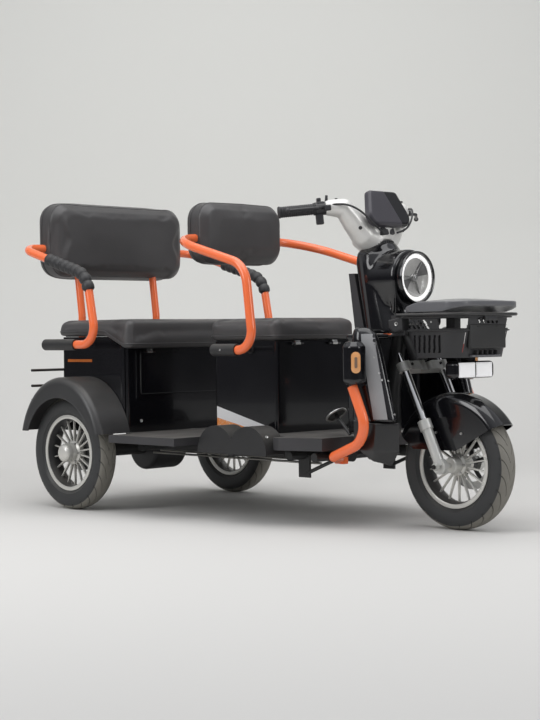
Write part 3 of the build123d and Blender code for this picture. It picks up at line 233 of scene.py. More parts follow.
def build_dust_group():
    """Dust that settles on upward faces, in soft uneven patches."""
    group, entry, leave = new_group("settled_dust", [("Amount", 0.2), ("Patch Scale", 14.0)], ["Mask"])
    place = add_node(group, "TexCoord").outputs["Object"]
    patches = add_node(
        group, "TexNoise", {"Vector": place, "Scale": entry.outputs["Patch Scale"], "Detail": 6.0}
    )
    normal = add_node(group, "NewGeometry").outputs["Normal"]
    upward = add_node(group, "SeparateXYZ", {"Vector": normal}).outputs["Z"]
    rise = add_node(group, "MapRange", {"Value": upward, "From Min": 0.1, "From Max": 1.0})
    mask = reckon(group, "MULTIPLY", rise.outputs["Result"], patches.outputs["Fac"])
    group.links.new(reckon(group, "MULTIPLY", mask, entry.outputs["Amount"]), leave.inputs["Mask"])
    return group


grain_group = build_grain_group()
dust_group = build_dust_group()
dust_colour = (0.30, 0.28, 0.24, 1)


def shade(colour, share):
    """A colour made darker or lighter by a share."""
    return (*(min(1.0, c * share) for c in colour[:3]), 1)


def place_group(material, group, **values):
    """A group node in a material with its own input values."""
    node = material.node_tree.nodes.new("ShaderNodeGroup")
    node.node_tree = group
    for label, value in values.items():
        node.inputs[label.replace("_", " ")].default_value = value
    return node


def finish(
    name, colour, rough, grain=300.0, depth=0.1, spread=0.15, slow=6.0, dust=0.15, metal=0.0, coat=0.0
):
    """A painted, moulded or bare finish with grain, slow tone and settled dust."""
    material, shader = plain_material(name)
    tree = material.node_tree
    grains = place_group(material, grain_group, Scale=grain, Slow_Scale=slow)
    dusts = place_group(material, dust_group, Amount=dust)
    tone = grains.outputs["Tone"]
    tones = blend(tree, tone, shade(colour, 1 - spread), shade(colour, 1 + spread))
    gloss_range = {
        "Value": tone,
        "From Min": 0.3,
        "From Max": 0.7,
        "To Min": max(0.02, rough * (1 - 0.8 * spread)),
        "To Max": min(1.0, rough * (1 + 0.8 * spread)),
    }
    gloss = add_node(tree, "MapRange", gloss_range)
    bump = add_node(
        tree, "Bump", {"Height": grains.outputs["Height"], "Strength": depth, "Distance": 0.0006}
    )
    dusty = blend(tree, dusts.outputs["Mask"], tones, dust_colour)
    tree.links.new(dusty, shader.inputs["Base Color"])
    tree.links.new(gloss.outputs["Result"], shader.inputs["Roughness"])
    tree.links.new(bump.outputs["Normal"], shader.inputs["Normal"])
    shader.inputs["Metallic"].default_value = metal
    shader.inputs["Coat Weight"].default_value = coat
    shader.inputs["Coat Roughness"].default_value = 0.03
    return material


def dress(material, *names):
    """Give CAD nodes a material."""
    for name in names:
        nodes[name].data.materials.clear()
        nodes[name].data.materials.append(material)


frame_paint = finish("satin_black_frame", (0.022, 0.022, 0.023), 0.42, grain=420, depth=0.08, dust=0.35)
dress(frame_paint, "main_frame", "rear_axle_housing", "rear_leaf_springs", "basket_rack")
motor_finish = finish(
    "cast_motor_case", (0.06, 0.06, 0.062), 0.5, grain=240, depth=0.35, dust=0.3, metal=0.5
)
dress(motor_finish, "drive_motor")
rod_steel = finish(
    "zinc_rods", (0.34, 0.33, 0.31), 0.36, grain=600, depth=0.1, spread=0.3, dust=0.2, metal=0.9
)
dress(rod_steel, "brake_rods")
battery_case = finish("battery_case", (0.05, 0.055, 0.06), 0.6)
dress(battery_case, "battery_pack")


# ---------------------------------------------------------------- tyres
# Three inflated rubber tyres with swept tread grooves, pressed over the rims' beads.
# Moulded in one piece: smooth side walls with two ribs, a paler tread, dark grooves. The tread's pale
# colour is partly dust and partly painted sheen of light glancing off it.
wheel_height = 0.200
front_axle = Vector((0, -0.795, wheel_height))
rear_axle_y = 0.627
rear_wheel_side = 0.3875
tyre_steps = 216
tread_pitch = 9
tread_sweep = 0.42
tread_curve = 1.6
tyre_half = 0.039
groove_depth = 0.0032
tyre_section = (
    (0.0268, 0.1276), (0.0270, 0.1346), (0.0300, 0.1372), (0.0338, 0.1440), (0.0362, 0.1450),
    (0.0378, 0.1530), (0.0386, 0.1600), (0.0390, 0.1680), (0.0384, 0.1750), (0.0366, 0.1820),
    (0.0336, 0.1876), (0.0300, 0.1914), (0.0256, 0.1946), (0.0206, 0.1970), (0.0150, 0.1987),
    (0.0094, 0.1996), (0.0044, 0.1999),
)
spin_axis = Vector((1, 0, 0))


def lathe(bm, profile, centre, steps, axis=spin_axis, closed=False, material=0):
    """Spin a profile of (along the axis, radius) points into a full ring."""
    outward = Vector((0, 0, 1)) if abs(axis.z) < 0.5 else Vector((1, 0, 0))
    outward = (outward - axis * outward.dot(axis)).normalized()
    verts = [bm.verts.new(Vector(centre) + axis * along + outward * radius) for along, radius in profile]
    edges = [bm.edges.new(pair) for pair in zip(verts, verts[1:])]
    if closed:
        edges.append(bm.edges.new((verts[-1], verts[0])))
    made = bmesh.ops.spin(
        bm,
        geom=verts + edges,
        cent=centre,
        axis=axis,
        dvec=(0, 0, 0),
        angle=2 * math.pi,
        steps=steps,
        use_merge=True,
    )
    faces = {f for v in verts for f in v.link_faces}
    ring = set(faces)
    while faces:
        faces = {g for f in faces for e in f.edges for g in e.link_faces} - ring
        ring |= faces
    for face in ring:
        face.material_index = material
        face.smooth = True
    return list(ring)


def carry(made, body, covers=()):
    """Put a piece on its body, in place of the CAD nodes that it covers."""
    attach(made, body)
    if covers:
        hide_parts(*covers)


def build(name, bm, body, slot, *materials, covers=(), degrees=35):
    """A finished piece with its creases, its materials and the body that carries it."""
    bmesh.ops.recalc_face_normals(bm, faces=bm.faces)
    made = finished_mesh(name, bm)
    for face in made.data.polygons:
        face.use_smooth = True
    made.data.set_sharp_from_angle(angle=math.radians(degrees))
    for material in materials:
        made.data.materials.append(material)
    carry(made, body, covers)


def mould_tyre(name, node, centre, body):
    """One tyre with its tread."""
    bm = bmesh.new()
    left = [(x, r) for x, r in tyre_section]
    right = [(-x, r) for x, r in reversed(tyre_section)]
    lathe(bm, left + right, centre, tyre_steps, closed=True)
    bmesh.ops.recalc_face_normals(bm, faces=bm.faces)
    grooves = []
    for face in bm.faces:
        place = face.calc_center_median() - centre
        radius = math.hypot(place.y, place.z)
        # Faces out on the tread take the pale tread colour, partly dust and partly painted sheen.
        if radius > 0.186:
            face.material_index = 1
        step = round((math.atan2(place.y, place.z) / (2 * math.pi) + 0.5) * tyre_steps - 0.5)
        offset = 0 if place.x > 0 else tread_pitch // 2
        if (step + offset) % tread_pitch == 0 and 0.006 < abs(place.x) < 0.037 and radius > 0.178:
            grooves.append(face)
    bmesh.ops.inset_region(bm, faces=grooves, thickness=0.0011, depth=0)
    for vert in {v for f in grooves for v in f.verts}:
        place = vert.co - centre
        radius = math.hypot(place.y, place.z)
        place.yz = place.yz * ((radius - groove_depth) / radius)
        vert.co = centre + place
    for face in grooves:
        face.material_index = 2
    for vert in bm.verts:
        place = vert.co - centre
        sweep = tread_sweep * max(0.0, 1 - abs(place.x) / tyre_half) ** tread_curve
        vert.co = centre + Matrix.Rotation(sweep, 3, "X") @ place
    build(name, bm, body, "tyre", side_rubber, tread_dust_and_sheen, groove_rubber, covers=(node,), degrees=40)


side_rubber = finish("tyre_side_rubber", (0.032, 0.033, 0.034), 0.52, grain=260, depth=0.25, dust=0.25)
# The tread's pale colour is partly dust and partly painted sheen, the light that glances off the tread.
tread_dust_and_sheen = finish(
    "tyre_tread_dust_and_sheen", (0.20, 0.19, 0.165), 0.62, grain=340, depth=0.4, spread=0.3, dust=0.2
)
groove_rubber = finish("tyre_groove_rubber", (0.03, 0.03, 0.03), 0.8, grain=200, depth=0.2)
rear_left = Vector((rear_wheel_side, rear_axle_y, wheel_height))
rear_right = Vector((-rear_wheel_side, rear_axle_y, wheel_height))
wheels = (
    ("front", front_axle, "wheel_front", "front_tyre", "front_rim", 0),
    ("left", rear_left, "wheel_rear_left", "left_rear_tyre", "left_rear_rim", 1),
    ("right", rear_right, "wheel_rear_right", "right_rear_tyre", "right_rear_rim", -1),
)
for wheel_name, wheel_centre, wheel_body, tyre_node, rim_node, outside in wheels:
    mould_tyre(f"{wheel_name}_wheel_tyre", tyre_node, wheel_centre, wheel_body)


# ---------------------------------------------------------------- rims
# Cast alloy rims: a polished lip, a black barrel, thin tapered spokes and a hub ring with bolts.
# The rear ones carry a domed hub cap and a brake drum, the front one a steel disc on five arms.
spokes = 18
spoke_root = 0.030
spoke_reach = 0.123
rim_bolts = 6


def cone(bm, low_radius, high_radius, depth, matrix, segments):
    """A closed cone along its own Z, and its faces."""
    made = bmesh.ops.create_cone(
        bm,
        cap_ends=True,
        segments=segments,
        radius1=low_radius,
        radius2=high_radius,
        depth=depth,
        matrix=matrix,
    )
    return {f for v in made["verts"] for f in v.link_faces}


def round_edges(bm, edges, offset, segments):
    """Bevel some edges into an arc, and return the faces that meet the cut."""
    cut = bmesh.ops.bevel(
        bm, geom=list(edges), offset=offset, affect="EDGES", segments=segments, profile=0.5, material=-1
    )
    return {f for g in cut["faces"] for v in g.verts for f in v.link_faces}


def add_bar(bm, size, matrix, taper=1.0, bevel=0.0008, material=0):
    """A tapered block along its own Z, placed by a matrix."""
    made = bmesh.ops.create_cube(bm, size=1)["verts"]
    for vert in made:
        share = taper if vert.co.z > 0 else 1.0
        vert.co = Vector((vert.co.x * size[0] * share, vert.co.y * size[1] * share, vert.co.z * size[2]))
    faces = round_edges(bm, {e for v in made for e in v.link_edges}, bevel, 2)
    bmesh.ops.transform(bm, matrix=matrix, verts=list({v for f in faces for v in f.verts}))
    for face in faces:
        face.material_index = material


def cast_rim(name, node, centre, body, outside):
    """One rim with its hub. Outside is -1 or 1 at the rear, 0 in front."""
    bm = bmesh.new()
    lip = (
        (0.0262, 0.1210), (0.0300, 0.1206), (0.0310, 0.1225), (0.0310, 0.1318), (0.0300, 0.1338),
        (0.0275, 0.1338), (0.0268, 0.1270),
    )
    for flip in (1, -1):
        lathe(bm, [(flip * x, r) for x, r in lip], centre, 96, closed=True, material=0)
    barrel = ((0.0268, 0.1212), (0.0268, 0.1268), (-0.0268, 0.1268), (-0.0268, 0.1212))
    lathe(bm, barrel, centre, 96, closed=True, material=1)
    well = ((0.0250, 0.1215), (0.0120, 0.1150), (-0.0120, 0.1150), (-0.0250, 0.1215))
    lathe(bm, well, centre, 96, closed=True, material=1)
    for count in range(spokes):
        length = spoke_reach - spoke_root
        spoke = Matrix.Translation(centre) @ Matrix.Rotation(2 * math.pi * count / spokes, 4, "X")
        spoke = spoke @ Matrix.Translation((0, 0, spoke_root + length / 2))
        add_bar(bm, (0.012, 0.0058, length + 0.004), spoke, taper=0.74, bevel=0.0012)
    hub_half = 0.046 if outside == 0 else 0.031
    hub_radius = 0.027 if outside == 0 else 0.034
    hub = (
        (hub_half, 0.0075),
        (hub_half, hub_radius - 0.006),
        (hub_half - 0.004, hub_radius - 0.003),
        (0.014, hub_radius - 0.001),
        (0.010, hub_radius + 0.007),
        (-0.010, hub_radius + 0.007),
        (-0.014, hub_radius - 0.001),
        (0.004 - hub_half, hub_radius - 0.003),
        (-hub_half, hub_radius - 0.006),
        (-hub_half, 0.0075),
    )
    lathe(bm, hub, centre, 48, closed=True, material=0)
    for bolt in range(rim_bolts):
        for flip in (-1, 1):
            seat = Matrix.Translation(centre) @ Matrix.Rotation(
                2 * math.pi * (bolt + 0.5) / rim_bolts, 4, "X"
            )
            seat = seat @ Matrix.Translation((flip * 0.012, 0, hub_radius + 0.002))
            seat = seat @ Matrix.Rotation(math.pi / 2, 4, "Y")
            for face in cone(bm, 0.0045, 0.0040, 0.010, seat, 12):
                face.material_index = 2
    if outside:
        dome = (
            (0.031, 0.0320), (0.046, 0.0318), (0.052, 0.0296), (0.057, 0.0240), (0.0600, 0.0150),
            (0.0608, 0.0060), (0.0609, 0.0004),
        )
        lathe(bm, [(outside * x, r) for x, r in dome], centre, 48)
        drum = (
            (0.020, 0.0400), (0.022, 0.0640), (0.030, 0.0655), (0.0425, 0.0655), (0.0427, 0.0200),
            (0.0427, 0.0090), (0.030, 0.0090),
        )
        lathe(bm, [(-outside * x, r) for x, r in drum], centre, 64, closed=True, material=3)
        for fin in range(24):
            seat = Matrix.Translation(centre) @ Matrix.Rotation(2 * math.pi * fin / 24, 4, "X")
            seat = seat @ Matrix.Translation((-outside * 0.021, 0, 0.052))
            add_bar(bm, (0.003, 0.0022, 0.020), seat, bevel=0.0004, material=3)
    else:
        disc = ((0.0612, 0.0570), (0.0612, 0.0815), (0.0648, 0.0815), (0.0648, 0.0570))
        lathe(bm, disc, centre, 72, closed=True, material=2)
        carrier = ((0.0460, 0.0080), (0.0460, 0.0215), (0.0640, 0.0215), (0.0640, 0.0080))
        lathe(bm, carrier, centre, 36, closed=True, material=1)
        for arm in range(5):
            seat = Matrix.Translation(centre) @ Matrix.Rotation(2 * math.pi * arm / 5, 4, "X")
            seat = seat @ Matrix.Translation((0.063, 0, 0.040))
            add_bar(bm, (0.0032, 0.015, 0.040), seat, bevel=0.0008, material=1)
    finishes = (rim_alloy, barrel_black, bolt_steel, drum_finish)
    build(name, bm, body, "alloy", *finishes, covers=(node,), degrees=30)


rim_alloy = finish(
    "polished_rim_alloy", (0.66, 0.65, 0.61), 0.30, grain=500, depth=0.06, dust=0.1, metal=0.35
)
barrel_black = finish("painted_barrel", (0.03, 0.03, 0.032), 0.45, grain=300, depth=0.1, dust=0.3)
bolt_steel = finish("bright_steel", (0.5, 0.5, 0.49), 0.3, grain=500, depth=0.06, spread=0.25, metal=0.95)
drum_finish = finish(
    "cast_drum", (0.16, 0.16, 0.16), 0.5, grain=260, depth=0.4, spread=0.25, dust=0.3, metal=0.6
)
for wheel_name, wheel_centre, wheel_body, tyre_node, rim_node, outside in wheels:
    cast_rim(f"{wheel_name}_wheel_rim", rim_node, wheel_centre, wheel_body, outside)


# ---------------------------------------------------------------- front fork
# Painted cast lower legs slide on hard chrome tubes under an arched cast bridge.
# Socket screws pinch the bridge, and the wheel's axle is nutted through the legs' lugs.
bridge_screws = ((0.069, -0.6687, 0.511), (0.0705, -0.6665, 0.4985))
skins = {}


def surface_at(name, start, direction):
    """The spot and the outward direction where a line meets a CAD node or a finished piece."""
    if name not in skins:
        mesh = (nodes[name] if name in nodes else bpy.data.objects[name]).data
        skins[name] = BVHTree.FromPolygons(
            [v.co for v in mesh.vertices], [p.vertices for p in mesh.polygons]
        )
    spot, normal, _, _ = skins[name].ray_cast(Vector(start), Vector(direction).normalized())
    return spot, normal


def facing(direction):
    """A turn that takes Z to a direction."""
    return Vector(direction).to_track_quat("Z", "Y").to_matrix().to_4x4()


def drive_screw(bm, place, direction, radius, height, segments=20):
    """A screw head on a surface, with a round recess in its top."""
    direction = Vector(direction).normalized()
    seat = Matrix.Translation(place) @ facing(direction) @ Matrix.Translation((0, 0, height * 0.4))
    faces = cone(bm, radius, radius * 0.9, height, seat, segments)
    top = max(faces, key=lambda f: f.normal.dot(direction) * len(f.verts))
    bmesh.ops.inset_individual(bm, faces=[top], thickness=radius * 0.4, depth=0)
    bmesh.ops.translate(bm, verts=top.verts, vec=-direction * height * 0.5)


def block(bm, low, high, bevel=0.002, segments=3, matrix=Matrix(), material=0):
    """A box with rounded edges between two corners."""
    low, high = Vector(low), Vector(high)
    size = high - low
    place = matrix @ Matrix.Translation((low + high) / 2) @ Matrix.Diagonal((*size, 1))
    made = bmesh.ops.create_cube(bm, size=1, matrix=place)["verts"]
    faces = round_edges(bm, {e for v in made for e in v.link_edges}, bevel, segments)
    for face in faces:
        face.material_index = material


fork_silver = finish(
    "painted_fork_silver", (0.60, 0.60, 0.575), 0.36, grain=420, depth=0.12, spread=0.1, metal=0.45
)
bridge_silver = finish(
    "cast_bridge_silver", (0.40, 0.40, 0.385), 0.42, grain=300, depth=0.25, spread=0.15, metal=0.5
)
hard_chrome = finish(
    "hard_chrome_tube", (0.80, 0.80, 0.80), 0.13, grain=700, depth=0.03, spread=0.1, dust=0.03, metal=1.0
)
dark_screw = finish("blackened_screw", (0.02, 0.02, 0.02), 0.4, grain=400, depth=0.1, metal=0.6)
dress(fork_silver, "fork_sliders")
dress(hard_chrome, "fork_stanchions")
dress(bridge_silver, "fork_bridge")
bm = bmesh.new()
for flip in (1, -1):
    for across, along, height in bridge_screws:
        drive_screw(bm, (flip * across, along, height), (0, -0.906, 0.423), 0.0048, 0.004)
    drive_screw(bm, (flip * 0.1225, front_axle.y, wheel_height), (flip, 0, 0), 0.0075, 0.004)
build("fork_screws", bm, "steering", "steel", dark_screw)


# ---------------------------------------------------------------- front fender
# A deep pressed mudguard in gloss black lacquer that turns with the fork.
# Its crown is rounded across, and two screws on each side hold it to the legs.
gloss_black = finish(
    "gloss_black_lacquer", (0.005, 0.005, 0.0065), 0.13, grain=900, depth=0.02, spread=0.3, slow=3,
    dust=0.03, coat=0.35
)
fender_screws = ((-0.846, 0.300), (-0.748, 0.300))
dress(gloss_black, "front_fender")
bm = bmesh.new()
for flip in (1, -1):
    for along, height in fender_screws:
        spot, out = surface_at("front_fender", (flip * 0.2, along, height), (-flip, 0, 0))
        drive_screw(bm, spot, out, 0.0042, 0.003)
build("fender_screws", bm, "steering", "steel", bolt_steel)


# ---------------------------------------------------------------- handlebar
# A bent steel bar with ribbed rubber grips, switch boxes and cast levers, all in satin black.
# Brake cables leave the lever clamps and arc in front of the cover into the pod.
bar_end = Vector((0.304, -0.322, 0.992))
bar_shoulder = Vector((0.138, -0.448, 1.011))
grip_length = 0.118
grip_ribs = 15
bar_black = finish("satin_black_bar", (0.025, 0.025, 0.027), 0.38, grain=500, depth=0.06)
grip_rubber = finish("grip_rubber", (0.028, 0.028, 0.03), 0.6, grain=700, depth=0.35, dust=0.1)
switch_plastic = finish("switch_plastic", (0.035, 0.035, 0.038), 0.48, grain=800, depth=0.2, dust=0.1)


def bar_frame(flip):
    """The matrix at a bar end: X is forward, Y is up and Z is inward along the bar."""
    end = Vector((flip * bar_end.x, bar_end.y, bar_end.z))
    shoulder = Vector((flip * bar_shoulder.x, bar_shoulder.y, bar_shoulder.z))
    along = (shoulder - end).normalized()
    upward = (Vector((0, 0, 1)) - along * along.z).normalized()
    forward = along.cross(upward)
    if forward.y > 0:
        forward = -forward
    turn = Matrix((forward, upward, along)).transposed().to_4x4()
    return Matrix.Translation(end) @ turn


def mould_grips():
    """Both grips, with raised ribs and end flanges."""
    bm = bmesh.new()
    for flip in (1, -1):
        frame_at_end = bar_frame(flip)
        along = frame_at_end.col[2].to_3d()
        profile = [
            (0.0, 0.0), (0.0002, 0.012), (0.001, 0.0175), (0.003, 0.019), (0.007, 0.019), (0.0085, 0.0166)
        ]
        pitch = (grip_length - 0.016) / grip_ribs
        for rib in range(grip_ribs):
            start = 0.0095 + rib * pitch
            profile += [
                (start, 0.0164), (start + 0.001, 0.0178), (start + pitch * 0.6, 0.0178),
                (start + pitch * 0.75, 0.0164)
            ]
        profile += [
            (grip_length - 0.005, 0.0166), (grip_length - 0.004, 0.020), (grip_length, 0.020),
            (grip_length, 0.0111)
        ]
        lathe(bm, profile, frame_at_end.to_translation(), 36, axis=along)
    bmesh.ops.remove_doubles(bm, verts=bm.verts, dist=1e-6)
    build("bar_grips", bm, "steering", "rubber_black", grip_rubber, covers=("grips",))


def mould_switches():
    """The switch boxes, mirror stubs and lever pivots beside each grip."""
    bm = bmesh.new()
    for flip in (1, -1):
        seat = bar_frame(flip)
        block(bm, (-0.015, -0.014, 0.123), (0.015, 0.022, 0.150), 0.004, matrix=seat)
        block(bm, (-0.010, 0.020, 0.127), (0.010, 0.034, 0.140), 0.003, matrix=seat)
        block(bm, (-0.013, -0.050, 0.120), (0.011, -0.012, 0.143), 0.004, matrix=seat)
        block(bm, (0.008, -0.010, 0.146), (0.034, 0.008, 0.166), 0.003, matrix=seat)
        rise = seat @ Matrix.Translation((0.002, 0.026, 0.158)) @ Matrix.Rotation(math.radians(-82), 4, "X")
        cone(bm, 0.0055, 0.0042, 0.028, rise, 16)
        for across in (-0.006, 0.004):
            drive_screw(bm, seat @ Vector((0.0155, across, 0.136)), seat.col[0].to_3d(), 0.0028, 0.002, 12)
    build("bar_switches", bm, "steering", "panel_matte", switch_plastic)


def run_tube(name, places, radius, body, material, swell=(), loop=False, kind="POLY", fine=4):
    """A round tube along a line of points, thicker where swell is over 1."""
    data = bpy.data.curves.new(name, "CURVE")
    data.dimensions = "3D"
    data.bevel_depth = radius
    data.bevel_resolution = fine
    data.use_fill_caps = not loop
    data.resolution_u = 8
    spline = data.splines.new(kind)
    spline.points.add(len(places) - 1)
    for count, place in enumerate(places):
        spline.points[count].co = (*place, 1)
        spline.points[count].radius = swell[count] if swell else 1.0
    spline.use_cyclic_u = loop
    if kind == "NURBS":
        spline.order_u = 4
        spline.use_endpoint_u = not loop
    data.materials.append(material)
    carry(show(name, data), body)


dress(bar_black, "handlebar")
mould_grips()
mould_switches()
cable_route = (
    (0.190, -0.425, 1.012), (0.172, -0.462, 1.020), (0.146, -0.497, 1.012), (0.116, -0.520, 0.985),
    (0.088, -0.532, 0.955), (0.060, -0.534, 0.936), (0.034, -0.524, 0.930),
)
for flip, hand in ((1, "left"), (-1, "right")):
    route = [(flip * x, y, z) for x, y, z in cable_route]
    run_tube(f"{hand}_brake_cable", route, 0.0032, "steering", grip_rubber, kind="NURBS")


# ---------------------------------------------------------------- handlebar cover and pod
# A satin silver cast cover: a bowl on the stem with two horns that carry the bar's bends.
# A ribbed rubber ring seals it on the cowl, and the instrument pod sits on a bracket in front.
ring_height = 0.7555
ring_teeth = 40
pod_centre = Vector((0, -0.4914, 0.9998))
pod_tilt = math.radians(22)
band_lean = 0.42
band_edge = 0.4462
cover_silver = finish(
    "satin_silver_cover", (0.80, 0.79, 0.76), 0.34, grain=520, depth=0.06, spread=0.08, dust=0.05,
    metal=0.25
)
seal_rubber = finish("seal_rubber", (0.02, 0.02, 0.021), 0.55, grain=500, depth=0.2)
stem_along = Vector((0, 0.4226, 0.9063))


def stem_place(distance):
    """A point along the steering stem, in metres from the axle's height."""
    return Vector((0, -0.79059, wheel_height)) + stem_along * distance


def pod_finish():
    """Matte violet grey in front, with a gloss black band along the left edge."""
    material = finish(
        "pod_front", (0.050, 0.047, 0.057), 0.42, grain=900, depth=0.06, spread=0.2, dust=0.03
    )
    tree = material.node_tree
    across, _, height = place_sockets(tree)
    slant = add_node(tree, "Math", {0: height, 1: band_lean, 2: across}, operation="MULTIPLY_ADD")
    band = {"Value": slant.outputs["Value"], "From Min": band_edge, "From Max": band_edge + 0.001}
    edge = add_node(tree, "MapRange", band).outputs["Result"]
    shader = tree.nodes["Principled BSDF"]
    for label, dark in (("Base Color", (0.004, 0.004, 0.005, 1)), ("Roughness", (0.12, 0.12, 0.12, 1))):
        under = shader.inputs[label].links[0].from_socket
        tree.links.new(blend(tree, edge, under, dark), shader.inputs[label])
    return material


def circle(x, y, radius, steps=32):
    """Even places round a circle in a plane."""
    turns = [2 * math.pi * step / steps for step in range(steps)]
    return [(x + radius * math.cos(angle), y + radius * math.sin(angle)) for angle in turns]


def hull(bm, places):
    """A closed solid stretched over a set of corners."""
    corners = [bm.verts.new(place) for place in places]
    made = bmesh.ops.convex_hull(bm, input=corners)
    loose = [g for g in made["geom_interior"] if isinstance(g, bmesh.types.BMVert)]
    bmesh.ops.delete(bm, geom=loose, context="VERTS")


def post(bm, start, end, radius_start, radius_end, segments=48):
    """A closed round post or cone between two places."""
    start, end = Vector(start), Vector(end)
    seat = Matrix.Translation((start + end) / 2) @ facing(end - start)
    cone(bm, radius_start, radius_end, (end - start).length, seat, segments)


def melted(name, bm, voxel, rounds):
    """Overlapping solids joined into one skin, then smoothed as a moulding is."""
    bmesh.ops.recalc_face_normals(bm, faces=bm.faces)
    rough_cut = finished_mesh(f"{name}_pattern", bm)
    remesh = rough_cut.modifiers.new("skin", "REMESH")
    remesh.mode = "VOXEL"
    remesh.voxel_size = voxel
    soften = rough_cut.modifiers.new("soften", "SMOOTH")
    soften.factor = 0.5
    soften.iterations = rounds
    bpy.context.view_layer.update()
    evaluated = rough_cut.evaluated_get(bpy.context.evaluated_depsgraph_get())
    mesh = bpy.data.meshes.new_from_object(evaluated)
    bpy.data.objects.remove(rough_cut)
    mesh.name = name
    mesh.materials.clear()
    for face in mesh.polygons:
        face.use_smooth = True
    return show(name, mesh)


def melt(name, bm, voxel, rounds, body, slot, *materials, covers=()):
    """A smooth moulding on its body, with its materials."""
    made = melted(name, bm, voxel, rounds)
    for material in materials:
        made.data.materials.append(material)
    carry(made, body, covers)


horn_line = (
    ((0.018, -0.4660, 0.9050), 0.050),
    ((0.056, -0.4640, 0.9220), 0.044),
    ((0.098, -0.4560, 0.9640), 0.0375),
    ((0.134, -0.4485, 1.0050), 0.0315),
    ((0.171, -0.4230, 1.0070), 0.0265),
)
bowl_line = ((0.7570, 0.0540), (0.780, 0.0660), (0.797, 0.0740), (0.812, 0.0640))
bm = bmesh.new()
for (low_d, low_r), (high_d, high_r) in zip(bowl_line, bowl_line[1:]):
    post(bm, stem_place(low_d), stem_place(high_d), low_r, high_r, 64)
for flip in (1, -1):
    places = [(Vector((flip * place[0], place[1], place[2])), radius) for place, radius in horn_line]
    for (start, start_radius), (end, end_radius) in zip(places, places[1:]):
        post(bm, start, end, start_radius, end_radius)
        bmesh.ops.create_uvsphere(
            bm, u_segments=32, v_segments=16, radius=end_radius * 0.995, matrix=Matrix.Translation(end)
        )
melt(
    "handlebar_cover_casting", bm, 0.003, 7, "steering", "alloy", cover_silver, covers=("handlebar_cover",)
)
bm = bmesh.new()
pod_out = Vector((0, -math.cos(pod_tilt), math.sin(pod_tilt)))
pod_up = Vector((0, math.sin(pod_tilt), math.cos(pod_tilt)))
outline = []
for depth, inset in ((0.0005, 0.004), (0.006, 0.0), (0.022, 0.001), (0.0295, 0.007)):
    for across, rise, radius in ((0.062, -0.028, 0.034), (0.053, 0.046, 0.016)):
        for flip in (1, -1):
            for x, rise_here in circle(flip * across, rise, radius - inset):
                outline.append(pod_centre + pod_out * depth + pod_up * rise_here + Vector((x, 0, 0)))
hull(bm, outline)
melt(
    "instrument_pod_shell", bm, 0.0025, 5, "steering", "panel_matte", pod_finish(),
    covers=("instrument_pod",)
)
bm = bmesh.new()
ring = (
    (-0.016, 0.0405), (-0.016, 0.0515), (-0.0135, 0.0530), (-0.003, 0.0530), (-0.0015, 0.0510),
    (-0.0015, 0.0405)
)
lathe(bm, ring, stem_place(ring_height), 80, axis=stem_along, closed=True)
ring_turn = facing(stem_along)
for tooth in range(ring_teeth):
    seat = Matrix.Translation(stem_place(ring_height - 0.008)) @ ring_turn
    seat = seat @ Matrix.Rotation(2 * math.pi * tooth / ring_teeth, 4, "Z") @ Matrix.Translation(
        (0.0538, 0, 0)
    )
    add_bar(bm, (0.003, 0.0036, 0.010), seat, bevel=0.0005)
build("cover_seal", bm, "chassis", "rubber_black", seal_rubber)
bm = bmesh.new()
for flip in (1, -1):
    spot, out = surface_at("handlebar_cover_casting", (flip * 0.2, -0.65, 0.9425), (-flip * 0.5, 0.83, 0))
    drive_screw(bm, spot, out, 0.0062, 0.003)
    cap = bar_frame(flip)
    drive_screw(bm, cap @ Vector((0.0, 0.0255, 0.190)), cap.col[1].to_3d(), 0.0045, 0.003)
connector = Matrix.Translation((0, -0.512, 0.934)) @ Matrix.Rotation(-pod_tilt, 4, "X")
block(bm, (-0.034, -0.010, -0.014), (-0.004, 0.020, 0.014), 0.003, matrix=connector)
block(bm, (0.004, -0.010, -0.012), (0.026, 0.018, 0.014), 0.003, matrix=connector)
build("cover_screws", bm, "steering", "panel_matte", switch_plastic)


# ---------------------------------------------------------------- front cowl and headlamp
# Moulded halves in gloss black close over the head tube, with a matte strip down the rear edge.
# The round lamp has a thick bezel, a lit ring behind clear glass, and a bright bowl with its bulb; two
# darker wedges on the bowl are painted reflections.
lamp_height = 0.782
lamp_centre = Vector((0, -0.640, lamp_height))
lamp_axis = Vector((0, -1, 0))
lamp_growth = 1.06
barrel_radius = 0.0900
seam_radius = 0.0888
glass_veil = 0.13
# Clock angles of the bowl's darker wedges, painted dark reflections in the reflector.
dark_reflection_wedges = ((8, 62), (190, 228))
bezel_section = (
    (-0.0255, 0.0400), (-0.0255, 0.0740), (-0.0200, 0.0775), (-0.0060, 0.0790), (-0.0010, 0.0780),
    (0.0000, 0.0755), (-0.0010, 0.0725), (-0.0050, 0.0710), (-0.0180, 0.0690), (-0.0200, 0.0400),
)
glow_section = (
    (-0.0165, 0.0600), (-0.0090, 0.0585), (-0.0060, 0.0610), (-0.0062, 0.0680), (-0.0095, 0.0705),
    (-0.0165, 0.0700)
)
bowl_section = (
    (-0.0110, 0.0585), (-0.0165, 0.0520), (-0.0200, 0.0400), (-0.0222, 0.0260), (-0.0230, 0.0120),
    (-0.0232, 0.0)
)
bulb_section = (
    (-0.0230, 0.0125), (-0.0180, 0.0125), (-0.0170, 0.0105), (-0.0120, 0.0100), (-0.0085, 0.0075),
    (-0.0070, 0.0035), (-0.0066, 0.0)
)
glass_section = (
    (-0.0062, 0.0712), (-0.0028, 0.0700), (-0.0008, 0.0600), (0.0004, 0.0400), (0.0010, 0.0200),
    (0.0012, 0.0)
)
cowl_strip = (
    (-0.4735, 0.858), (-0.4760, 0.835), (-0.4835, 0.790), (-0.4915, 0.742), (-0.4990, 0.696),
    (-0.5065, 0.650), (-0.5120, 0.612),
)


def adjust(material, values):
    """Set plain values on a material's shader."""
    for label, value in values.items():
        material.node_tree.nodes["Principled BSDF"].inputs[label].default_value = value


